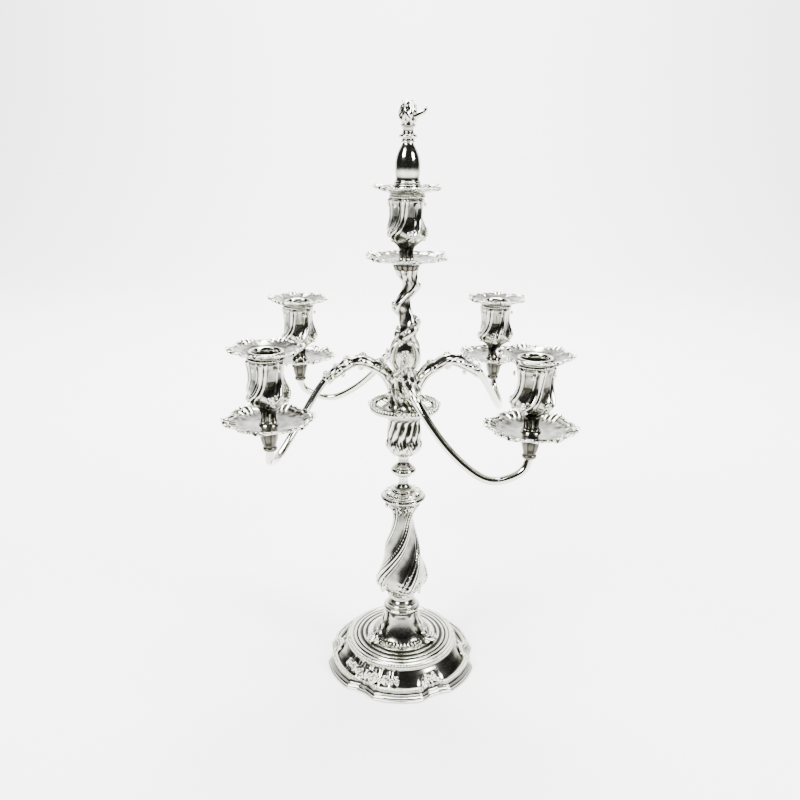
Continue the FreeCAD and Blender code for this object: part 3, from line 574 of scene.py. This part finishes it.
def urnRelief(angle, far, high):
    if far < 12.5 and high > 220:
        return 0, 0
    leaf = max(0.0, cos(urn["leaves"] * angle + 0.7 * sin((high - 216) * 0.35)))
    belly = bump(high, 226, 6.5)
    vein = 0.4 * abs(sin(16 * angle + high * 0.4)) * belly
    spiral = cos(urn["flutes"] * angle - 0.30 * (high - 232))
    upper = smooth(231, 235, high) * (1 - smooth(249, 252, high))
    base = bump(high, 217, 1.3) * 0.5 * abs(cos(16 * angle))
    return belly * 1.5 * (leaf ** 0.6 - 0.45) - vein + upper * 0.75 * spiral + base, 0


bm = bmesh.new()
addTurned(bm, [
    [(3.2, 214.1), (5.6, 214.1), (6.0, 215.2), (9.2, 216.2)],
    [(9.2, 216.2), (13.0, 218.6), (15.8, 222.6), (16.2, 226.5), (15.2, 230.2), (14.6, 233), (15.0, 237),
     (14.6, 242),
     (13.8, 247), (14.2, 250.6), (15.6, 253.4)],
    [(15.6, 253.4), (16.5, 254.2), (16.4, 255.9)],
    [(16.4, 255.9), (11.6, 255.9)],
    [(11.6, 255.9), (11.6, 226.2)],
    [(11.6, 226.2), (3.2, 225.8)],
], urn["around"], urnRelief)
finishPiece(bm, "stick_socket", "stick", ["stick_socket"], "chased")
print("candlestick done")

# Branch pan and hub

branchPan = {"lobes": 4, "cusp": 3.4, "reeds": 72, "rays": 32, "around": 324}


def panLobes(angle, count, phase, depth):
    # Full lobes with a narrow cusp between them.
    return -depth * (1 - abs(cos(count / 2 * (angle - phase))) ** 0.55)


def branchPanRelief(angle, far, high):
    edge = smooth(20, 31, far)
    out = edge * panLobes(angle, branchPan["lobes"], radians(45), branchPan["cusp"])
    reed = bump(far, 31.2, 1.6) * 0.45 * cos(branchPan["reeds"] * angle)
    rays = smooth(17, 22, far) * (1 - smooth(25, 28, far)) * 0.5 * cos(branchPan["rays"] * angle)
    return out + reed * 0.6, reed + rays


bm = bmesh.new()
addTurned(bm, [
    [(5.2, 256.1), (16.6, 256.1)],
    [(16.6, 256.1), (21, 257.4), (26, 258.6), (30.4, 259.2)],
    [(30.4, 259.2), (32.0, 260.2), (32.8, 262.0), (32.2, 264.0), (30.6, 264.6)],
    [(30.6, 264.6), (30.0, 263.4), (29.2, 264.2), (28.0, 263.6)],
    [(28.0, 263.6), (26.6, 262.0), (23.0, 261.0), (18.0, 260.2), (14.6, 260.8)],
    [(14.6, 260.8), (14.2, 258.4), (5.2, 258.2)],
], branchPan["around"], branchPanRelief)
for k in range(4):
    cusp = radians(90 * k)
    spot = Vector((cos(cusp) * 30.2, sin(cusp) * 30.2, 264.2))
    for way in (-1, 1):
        around = cusp + way * 0.13
        addBead(bm, (cos(around) * 31.2, sin(around) * 31.2, 264.0), 1.7, (1, 1, 0.8))
    addBead(bm, spot, 2.1, (1, 1, 0.8))
    addArc(bm, 26.6, 262.9, radians(45 + 90 * k), 0.36, 1.2, 0.8)
finishPiece(bm, "branch_pan", "branch", ["branch_pan"], "chased")

armTurns = {name: atan2(middleOf("drip_pan_" + name).y, middleOf("drip_pan_" + name).x) for name in armNames}


def hubRelief(angle, far, high):
    knots = sum(bump(turnApart(angle, turn + radians(-55)), 0, 0.32) for turn in armTurns.values())
    leaf = 0.7 * cos(12 * angle + (high - 258) * 0.35) * smooth(259, 264, high)
    return 1.8 * knots * bump(high, 276, 9) + leaf * (1 - smooth(284, 291, high)), 0


bm = bmesh.new()
addTurned(bm, [
    [(5.2, 258.3), (12.6, 258.3)],
    [(12.6, 258.3), (13.6, 260.2), (13.2, 263)],
    [(13.2, 263), (11.6, 266), (12.2, 270), (12.6, 276), (11.8, 282), (9.8, 288), (8.8, 292.9)],
    [(8.8, 292.9), (2.2, 292.9)],
    [(2.2, 292.9), (2.2, 268.5)],
    [(2.2, 268.5), (5.2, 268.5)],
], 216, hubRelief)
for k, turn in enumerate((-88, 2, 92, 182)):
    out, along = outAndAlong(radians(turn))
    base = out * 13.4
    addCurl(bm, base + up * 278, along, up, 5.2, 1.5, 1.5, 0.4)
    addCurl(bm, base + along * 6.5 + up * 270.5, -along, up, 3.8, 1.2, 1.3, 1.8)
    addBead(bm, out * 14.0 + up * 271 - along * 3.4, 2.6)
    addSweep(bm, flowing([base + up * 263 - along * 5, base + up * 268 - along * 7.0,
                          out * 12 + up * 277 - along * 7.5, out * 10.5 + up * 287 - along * 5]),
             lambda s, a: 1.9 * (1 - 0.5 * s) * (0.8 + 0.25 * cos(2 * a + 16 * s)), 10)
finishPiece(bm, "branch_hub", "branch", ["branch_hub"], "chased")

# Centre trunk: an oval shield in scrolls, leafing up to the centre light

trunk = {"shieldHeight": 310.0, "shieldWide": 11.6, "shieldTall": 15.2, "sway": 3.3, "around": 168}


def trunkRelief(angle, far, high):
    twist = angle - 0.09 * (high - 330)
    upper = smooth(326, 334, high) * (1 - smooth(376, 381, high))
    lower = 1 - smooth(322, 330, high)
    top = smooth(372, 378, high)
    ridge = max(0.0, cos(3 * twist)) ** 2
    return (upper * (1.2 * ridge - 0.2) + lower * 0.6 * cos(8 * angle + 0.5 * high) * 0.8
            + top * 0.9 * cos(10 * angle)), top * 0.5 * cos(10 * angle)


def addShield(bm, turn):
    # Oval of two C-scrolls with a flower spray in the middle.
    out, along = outAndAlong(radians(turn))
    high, wide, tall = trunk["shieldHeight"], trunk["shieldWide"], trunk["shieldTall"]
    turned = Matrix((along, up, -out)).transposed().to_4x4()
    plate = Matrix.Translation(out * 7.6 + up * high) @ turned @ Matrix.Diagonal((0.90, 1.17, 0.42, 1))
    bmesh.ops.create_uvsphere(bm, u_segments=48, v_segments=24, radius=12.4, matrix=plate)
    for way in (-1, 1):
        line = []
        for i in range(29):
            t = radians(-68 + 136 * i / 28)
            line.append(out * (9.6 + 2.0 * cos(t)) + along * way * wide * cos(t) + up
                        * (high + tall * sin(t)))
        addSweep(bm, line, lambda s, a: 1.5 * (0.75 + 0.5 * sin(pi * s)), 10)
        for end, lift in ((line[0], 1), (line[-1], -1)):
            addCurl(bm, end + up * (lift * 1.6) + out * 0.6, along * way, -up * lift, 2.6, 0.9, 1.2)
    for k in range(6):
        a = tau * k / 6
        addBead(bm, out * 13.0 + along * 3.0 * cos(a) + up * (high + 2 + 3.0 * sin(a)), 1.55, (1, 1, 1.25))
    addBead(bm, out * 13.6 + up * (high + 2), 1.5)
    for k in range(5):
        lean = -1 if k % 2 else 1
        addBead(bm, out * 12.2 + along * 2.0 * lean + up * (high - 4 - 1.7 * k), 1.3, (1, 1, 1.5))
    addSweep(bm, flowing([out * 11 + up * (high + 14), out * 13.2 + up * (high + 19) + along,
                          out * 11.5 + up * (high + 25) + along * 3.5,
                          out * 8.5 + up * (high + 29) + along * 6]),
             lambda s, a: 3.4 * sin(pi * (0.15 + 0.8 * s)) * (0.85 + 0.2
                                                              * cos(3 * a + 14 * s)), 14, 0.6, along)


bm = bmesh.new()
addTurned(bm, [
    [(2.2, 293.1), (8.6, 293.1)],
    [(8.6, 293.1), (9.2, 297), (9.8, 304), (9.8, 313), (9.0, 321), (8.4, 327), (8.6, 333), (8.2, 338),
     (6.8, 343),
     (6.2, 347), (6.8, 352), (6.2, 357), (5.0, 362), (5.2, 368), (6.2, 374), (8.4, 380), (9.6, 383.4)],
    [(9.6, 383.4), (9.4, 383.9)],
    [(9.4, 383.9), (2.2, 383.9)],
], trunk["around"], trunkRelief)
for turn in (-90, 90):
    addShield(bm, turn)
for turn, high, reach, size in ((-172, 333, 7.6, 4.2), (-12, 341, 7.0, 4.0), (168, 353, 6.4, 3.6),
                                (14, 369, 6.6, 4.2), (-100, 330, 7.6, 4.0), (80, 346, 6.4, 3.4)):
    out, along = outAndAlong(radians(turn))
    addCurl(bm, out * (reach - 1) + up * high, out, up, size * 0.9, size * 0.52, 1.2, -0.6)
    addSweep(bm, flowing([out * (reach - 4) + up * (high - 13), out * reach + up * (high - 6) + along * 1.5,
                          out * (reach + size - 2.5) + up * high]),
             lambda s, a: size * 0.85 * sin(pi * (0.1 + 0.75 * s)) * (0.85 + 0.2
                                                                      * cos(3 * a + 8 * s)), 14, 0.8)
for v in bm.verts:
    # the whole stem sways to the right above the shield, then left, then right again
    v.co.x += trunk["sway"] * (bump(v.co.z, 337, 9) - 1.1 * bump(v.co.z, 354, 8) + 1.0
                               * bump(v.co.z, 370, 7))
finishPiece(bm, "centre_trunk", "branch", ["centre_trunk"], "chased")

bm = bmesh.new()
addTurned(bm, [
    [(2.2, 384.1), (9.4, 384.1)],
    [(9.4, 384.1), (10.8, 386.4), (11.0, 388.0), (10.0, 388.9)],
    [(10.0, 388.9), (2.2, 388.9)],
], 120, lambda a, r, z: (0.5 * smooth(8, 10, r) * cos(15 * a), 0))
# The collar takes the silver painted near-black as shade.
finishPiece(bm, "centre_collar", "branch", ["centre_collar"], "paintedShade")
print("branch stem done")

# Drip pans

pan = {"phase": radians(35), "flat": 19, "rim": 34, "lobes": 6, "depth": 3.2, "lift": 1.0, "around": 432}


def lightSpots(kind, heightOf, centreHeight=None, body=None):
    # Where a kind of piece stands on each arm, and on the centre stem if it has a height there.
    spots = []
    for name in armNames:
        centre, label = middleOf("arm_calyx_" + name), kind + "_" + name
        spots.append((label, (centre.x, centre.y, heightOf(name), armTurns[name]), body or label, [label]))
    if centreHeight is not None:
        label = kind + "_centre"
        spots.append((label, (0, 0, centreHeight, 0), body or label, [label]))
    return spots


def shellPanRelief(angle, far, look):
    # Broad lobes with fan-fluted shells between plain dished stretches.
    turn = angle - pan["phase"]
    flat, rim, lobes, lift = look["flat"], look["rim"], look["lobes"], look["lift"]
    edge = smooth(flat, rim, far)
    shells = smooth(0.05, 0.7, cos(lobes * turn))
    rays = cos(30 * angle + 2.0 * sin(lobes * turn))
    out = -edge * look["depth"] * (1 - abs(cos(lobes / 2 * turn)) ** 0.6) + edge * 1.2 * shells
    up = edge * lift * (0.5 * cos(lobes * turn + 0.6) + 0.5 * cos(2 * lobes * turn + 1.0))
    flute = smooth(flat + 5, flat + 9, far) * (0.25 + 0.75 * shells)
    up += flute * 0.75 * rays
    out += bump(far, rim, 2.0) * 0.8 * rays
    return out, up


bm = bmesh.new()
addTurned(bm, [
    [(2.2, 0.1), (11, 0.1)],
    [(11, 0.1), (18, 0.9), (25, 2.4), (30.5, 3.9), (33.6, 4.3)],
    [(33.6, 4.3), (34.7, 4.9), (34.6, 6.0), (33.2, 6.4)],
    [(33.2, 6.4), (31.8, 5.6), (30.4, 5.4), (28, 4.2)],
    [(28, 4.2), (21, 2.2), (14, 1.2), (8, 1.1)],
    [(8, 1.1), (2.2, 1.1)],
], pan["around"], lambda a, r, z: shellPanRelief(a, r, pan))
for k in range(6):
    middle = pan["phase"] + radians(60 * k)
    addArc(bm, 32.0, 5.9, middle + radians(16), 0.20, 1.6, 0.95, 0.5)
    cusp = middle + radians(30)
    for shift, size in ((0.0, 1.7), (0.075, 1.25), (-0.075, 1.25)):
        addBead(bm, (cos(cusp + shift) * 31.2, sin(cusp + shift) * 31.2, 5.6), size, (1, 1, 0.8))
    for j in range(5):
        shift = (j - 2) * 0.052 - 0.12
        addBead(bm, (cos(middle + shift) * 34.6, sin(middle + shift) * 34.6, 5.8), 1.15, (1.3, 1.3, 0.8), 1)
panSpots = lightSpots("drip_pan", lambda name: topOf("arm_calyx_" + name), topOf("centre_collar"), "branch")
finishPiece(bm, "drip_pan", None, None, "chased", panSpots)

# Candle cups

cup = {"ribs": 5, "rib": 2.5, "dish": 1.1, "around": 252}


def cupRelief(angle, far, high):
    if far < 12.6 and high > 30:
        return 0, 0
    sway = angle - 0.030 * (high - 28) - 0.35 * sin((high - 10) * 0.075)
    wave = cos(cup["ribs"] * sway)
    body = smooth(9, 17, high) * (1 - smooth(50.5, 53.5, high))
    rib = max(0.0, wave) ** 4
    dish = max(0.0, -wave) ** 0.6
    edge = 0.35 * max(0.0, cos(cup["ribs"] * sway - 1.1)) ** 14
    flute = smooth(14, 9, high) * 0.4 * cos(10 * angle) * smooth(1.5, 3.0, high)
    bead = bump(high, 53.6, 0.7) * 0.4 * abs(cos(22 * angle))
    return body * (cup["rib"] * (rib + edge) - cup["dish"] * dish) * (far / 15) + flute + bead, 0


bm = bmesh.new()
addTurned(bm, [
    [(2.2, 0.1), (7.6, 0.1), (7.4, 1.2)],
    [(7.4, 1.2), (6.4, 2.2), (5.5, 4.2), (5.4, 8.0), (6.6, 12.0)],
    [(6.6, 12.0), (9.2, 15.6), (13.0, 19.0), (15.2, 22.8), (15.4, 26.4), (14.0, 31.0), (12.9, 36),
     (12.8, 41),
     (13.2, 46), (14.0, 50), (14.0, 52.4)],
    [(14.0, 52.4), (14.8, 53.2), (14.8, 54.6), (14.2, 55.9)],
    [(14.2, 55.9), (12.3, 55.9)],
    [(12.3, 55.9), (12.3, 31.2)],
    [(12.3, 31.2), (2.2, 31.0)],
], cup["around"], cupRelief, steps=6)
for k in range(5):
    angle = tau * k / 5 - 0.12
    out, along = outAndAlong(angle)
    addCurl(bm, out * 16.4 + up * 24.0, along, up, 2.9, 1.15, 1.3, 0.5)
    addBead(bm, out * 14.6 + along * 2.0 + up * 18.8, 1.5)
    addBead(bm, out * 16.2 + along * 3.6 + up * 27.4, 1.1)
    addCurl(bm, out * 14.4 + along * 6.0 + up * 47.0, along, up, 2.0, 0.8, 1.2, 2.4)
cupSpots = lightSpots("candle_cup", lambda name: footOf("candle_cup_" + name),
                      footOf("candle_cup_centre"), "branch")
finishPiece(bm, "candle_cup", None, None, "chased", cupSpots)

# Nozzles

nozzle = {"flat": 17, "rim": 27.5, "lobes": 6, "depth": 2.6, "lift": 0.8, "around": 384}
bm = bmesh.new()
addTurned(bm, [
    [(11.1, -21.9), (12.1, -21.9)],
    [(12.1, -21.9), (12.1, 0.1)],
    [(12.1, 0.1), (16.4, 0.2)],
    [(16.4, 0.2), (20.5, 1.5), (24.4, 3.0), (26.6, 3.6)],
    [(26.6, 3.6), (27.9, 4.2), (27.8, 5.3), (26.6, 5.7)],
    [(26.6, 5.7), (25.4, 5.0), (23.4, 4.2), (20.4, 3.0)],
    [(20.4, 3.0), (17.2, 1.9), (14.6, 1.9), (13.2, 2.9)],
    [(13.2, 2.9), (12.0, 2.9), (11.1, 2.2)],
    [(11.1, 2.2), (11.1, -21.9)],
], nozzle["around"], lambda a, r, z: shellPanRelief(a, r, nozzle) if r > 16 else (0, 0))
for k in range(6):
    middle = pan["phase"] + radians(60 * k)
    addArc(bm, 25.4, 5.1, middle + radians(16), 0.21, 1.5, 0.85, 0.4)
    cusp = middle + radians(30)
    for shift, size in ((0.0, 1.5), (0.09, 1.05), (-0.09, 1.05)):
        addBead(bm, (cos(cusp + shift) * 25.0, sin(cusp + shift) * 25.0, 4.9), size, (1, 1, 0.8))
    for j in range(4):
        shift = (j - 1.5) * 0.065 - 0.15
        addBead(bm, (cos(middle + shift) * 27.9, sin(middle + shift) * 27.9, 5.1), 1.0, (1.3, 1.3, 0.8), 1)
nozzleSpots = lightSpots("nozzle", lambda name: topOf("candle_cup_" + name), topOf("candle_cup_centre"))
finishPiece(bm, "nozzle", None, None, "chased", nozzleSpots)
print("lights done")

# Arms: leafy sleeve over the root of each rod, and the calyx at its end

arm = {"swirl": 37.0, "start": 276.0, "root": 8.0, "leafStart": 3, "leafEnd": 54}
armStops = [
    (arm["root"], -1.45, arm["start"]), (arm["root"] + 10.6, -1.38, 292.7), (40.2, -1.14, 303.0),
    (57.1, -1.05, 295.7), (72.6, -0.89, 283.7), (84.6, -0.73, 269.1),
]
rootLine = flowing([(r * cos(radians(t * arm["swirl"])), r * sin(radians(t * arm["swirl"])), z)
                    for r, t, z in armStops], 14)


def leafRadius(share, angle):
    # Swells in overlapping leaf tips along the back of the arm.
    tips = abs(sin(share * pi * 5.5)) ** 0.7
    swell = 7.0 - 2.4 * share
    vein = 0.10 * cos(7 * angle + 5 * share)
    return swell * (0.82 + 0.24 * tips * (0.5 + 0.5 * cos(angle)) + vein)


bm = bmesh.new()
addSweep(bm, rootLine[arm["leafStart"]:arm["leafEnd"]], leafRadius, 28, 1.0, up)
for i, size in ((10, 2.9), (18, 3.2), (26, 3.0), (34, 2.8), (42, 2.6), (49, 3.4)):
    place, ahead = rootLine[i], (rootLine[i + 1] - rootLine[i - 1]).normalized()
    side = ahead.cross(up).normalized()
    over = side.cross(ahead).normalized()
    addCurl(bm, place + over * (6.4 - 0.03 * i) + ahead * 1.0, ahead, over, size, size * 0.40, 1.4, -0.4)
    for way in (-1, 1):
        leafTip = flowing([place + side * way * 3.6 - ahead * 4, place + side * way * 6.6 + over * 1.2,
                           place + side * way * 6.4 + over * 2.4 + ahead * 4.5])
        addSweep(bm, leafTip, lambda s, a: 2.3 * sin(pi * (0.12 + 0.8 * s)) * (0.85 + 0.2 * cos(3 * a)),
                 12, 0.6, over)
    if i in (26, 42):
        addCurl(bm, place - over * 5.4, ahead, -over, size * 0.9, size * 0.3, 1.3, 0.3)
leafSpots = [("arm_leaf_" + name, (0, 0, 0, armTurns[name]), "branch",
              ["arm_leaf_" + name]) for name in armNames]
finishPiece(bm, "arm_leaf", None, None, "chased", leafSpots)


def calyxRelief(angle, far, high):
    leaf = max(0.0, cos(4 * angle)) ** 0.7
    body = smooth(3, 7, high)
    tip = smooth(14, 20, high)
    return body * 1.4 * (leaf - 0.55) + tip * 0.8 * leaf, tip * -1.0 * (1 - leaf)


bm = bmesh.new()
addTurned(bm, [
    [(0, 0.05), (4.6, 0.05), (5.6, 1.2), (5.6, 2.4), (5.0, 3.4)],
    [(5.0, 3.4), (5.8, 6.0), (7.0, 10), (7.6, 14.6), (8.2, 18.2), (8.6, 20.0)],
    [(8.6, 20.0), (7.4, 20.4), (0, 20.4)],
], 120, calyxRelief, closed=False, pole=True)
for k in range(4):
    angle = tau * k / 4
    out, along = outAndAlong(angle)
    addCurl(bm, out * 8.6 + up * 16.4, out, up, 2.2, 0.8, 1.2, 0.8)
calyxSpots = lightSpots("arm_calyx", lambda name: footOf("arm_calyx_" + name), body="branch")
# The calyxes take the silver painted near-black as shade.
finishPiece(bm, "arm_calyx", None, None, "paintedShade", calyxSpots)
print("arms done")

# Finial

base = footOf("finial_vase") + 14.0
bm = bmesh.new()
addTurned(bm, [
    [(0, -13.9), (9.8, -13.9), (10.9, -12.0)],
    [(10.9, -12.0), (10.9, 0.1)],
    [(10.9, 0.1), (13.9, 0.1)],
    [(13.9, 0.1), (13.9, 1.4), (12.6, 2.4), (11.8, 4.4)],
    [(11.8, 4.4), (12.0, 5.6), (10.9, 6.2)],
    [(10.9, 6.2), (10.9, 8.0), (9.9, 8.8)],
    [(9.9, 8.8), (9.6, 11.5), (10.3, 17), (10.2, 23), (9.0, 29), (6.8, 34), (5.0, 37), (4.5, 38.5)],
    [(4.5, 38.5), (0, 38.5)],
], 120, closed=False, pole=True, base=base)
finishPiece(bm, "finial_vase", "finial", ["finial_vase"], "plain")

base = footOf("finial_spindle")
bm = bmesh.new()
addTurned(bm, [
    [(1.6, 0.1), (5.4, 0.1), (5.6, 1.0), (4.6, 1.8)],
    [(4.6, 1.8), (6.6, 3.0), (7.7, 4.6), (6.8, 6.0)],
    [(6.8, 6.0), (4.8, 7.2), (4.2, 9.0), (5.0, 11.4), (6.1, 12.4)],
    [(6.1, 12.4), (6.1, 13.9)],
    [(6.1, 13.9), (1.6, 13.9)],
], 96, base=base)
finishPiece(bm, "finial_spindle", "finial", ["finial_spindle"], "plain")

base = footOf("finial_flame")
bm = bmesh.new()
addTurned(bm, [
    [(0, 0.1), (5.0, 0.1)],
    [(5.0, 0.1), (6.4, 2.4), (7.0, 6.0), (6.6, 10.0), (5.0, 13.6), (2.8, 16.6), (0, 18.6)],
], 96, lambda a, r, z: (0.9 * cos(5 * a + z * 0.32) * smooth(0.5, 4, z) * min(1, r / 4),
                        0), closed=False, pole=True,
    base=base)
for k in range(7):
    angle = tau * k / 7 + 0.35
    out, along = outAndAlong(angle)
    reach = 7.0 if k % 2 else 6.2
    tip = 18.6 if k % 2 else 15.0
    tongue = flowing([out * 5.2 + up * (base + 1.5), out * reach + up * (base + 7) + along * 1.0,
                      out * (reach - 1.2) + up * (base + 12) + along * 2.2,
                      out * (reach - 2.6 if k % 2 else reach) + up * (base + tip) + along * 1.6])
    addSweep(bm, tongue, lambda s, a: 2.5 * (1 - s) ** 0.6 * (0.5 + s) + 0.15, 10, 0.55, along)
addSweep(bm, flowing([Vector((4, -3, base + 5)), Vector((9, -2, base + 7.6)), Vector((12.4, -1, base + 9.6)),
                      Vector((14.2, -0.6, base + 12.2)), Vector((13.0, -0.6, base + 13.4))]),
         lambda s, a: 2.3 * (1 - s) ** 0.7 + 0.4, 12)
finishPiece(bm, "finial_flame", "finial", ["finial_flame"], "chased")
print("finial done")

# Stage, light and camera

room = {"pale": (0.92, 0.92, 0.92), "dim": (0.03, 0.03, 0.028), "wide": 5.0}

sweepMesh = bpy.data.meshes.new("table_top")
bm = bmesh.new()
bend = [(2.0 + 1.2 * sin(radians(6 * k)), 1.2 - 1.2 * cos(radians(6 * k))) for k in range(16)]
line = [bm.verts.new((-room["wide"], y, z)) for y, z in [(-4, 0)] + bend + [(3.2, 5.0)]]
edges = [bm.edges.new(pair) for pair in zip(line, line[1:])]
grown = bmesh.ops.extrude_edge_only(bm, edges=edges)["geom"]
farSide = [g for g in grown if isinstance(g, bmesh.types.BMVert)]
bmesh.ops.translate(bm, vec=(2 * room["wide"], 0, 0), verts=farSide)
bmesh.ops.reverse_faces(bm, faces=[f for f in bm.faces if f.normal.z < -0.5])
for f in bm.faces:
    f.smooth = True
bm.to_mesh(sweepMesh)
bm.free()
sweep = bpy.data.objects.new("table_top", sweepMesh)
bpy.context.scene.collection.objects.link(sweep)
sweep.location.z = -0.0005

world = bpy.data.worlds.new("room")
bpy.context.scene.world = world
world.use_nodes = True
world.node_tree.nodes["Background"].inputs[0].default_value = (*room["dim"], 1)


def makeLamp(name, place, size, power, aim):
    lamp = bpy.data.lights.new(name, "AREA")
    lamp.size = size
    lamp.energy = power
    holder = bpy.data.objects.new(name, lamp)
    bpy.context.scene.collection.objects.link(holder)
    holder.location = place
    holder.rotation_euler = (Vector(aim) - Vector(place)).to_track_quat("-Z", "Y").to_euler()


lamps = {  # place, size, power, aim
    "key_lamp": ((-1.6, -1.5, 2.1), 1.0, 210, (0, 0, 0.26)),
    "fill_lamp": ((1.9, -1.1, 1.6), 0.8, 120, (0, 0, 0.26)),
    "top_lamp": ((0.1, 0.5, 2.7), 1.6, 300, (0, 0, 0.26)),
    "back_lamp": ((0.0, 0.9, 2.4), 1.4, 260, (0, 3.2, 1.2)),
}
for name, (place, size, power, aim) in lamps.items():
    makeLamp(name, place, size, power, aim)

tableTop = bpy.data.materials.new("table white")
tableTop.use_nodes = True
shader = tableTop.node_tree.nodes["Principled BSDF"]
shader.inputs["Roughness"].default_value = 0.9
shader.inputs["Base Color"].default_value = (*room["pale"], 1)
sweepMesh.materials.append(tableTop)

view = {"place": (0, -0.684, 0.4962), "pitch": 18.50, "yaw": 0.33, "roll": 0.70, "lens": 36.47}
cameraData = bpy.data.cameras.new("camera")
cameraData.lens = view["lens"]
cameraData.sensor_width = 36
camera = bpy.data.objects.new("camera", cameraData)
bpy.context.scene.collection.objects.link(camera)
camera.matrix_world = (Matrix.Translation(view["place"]) @ Matrix.Rotation(radians(view["yaw"]), 4, "Z")
                       @ Matrix.Rotation(radians(90 - view["pitch"]), 4, "X")
                       @ Matrix.Rotation(radians(view["roll"]), 4, "Z"))
bpy.context.scene.camera = camera

print("stage, lamps and camera made")
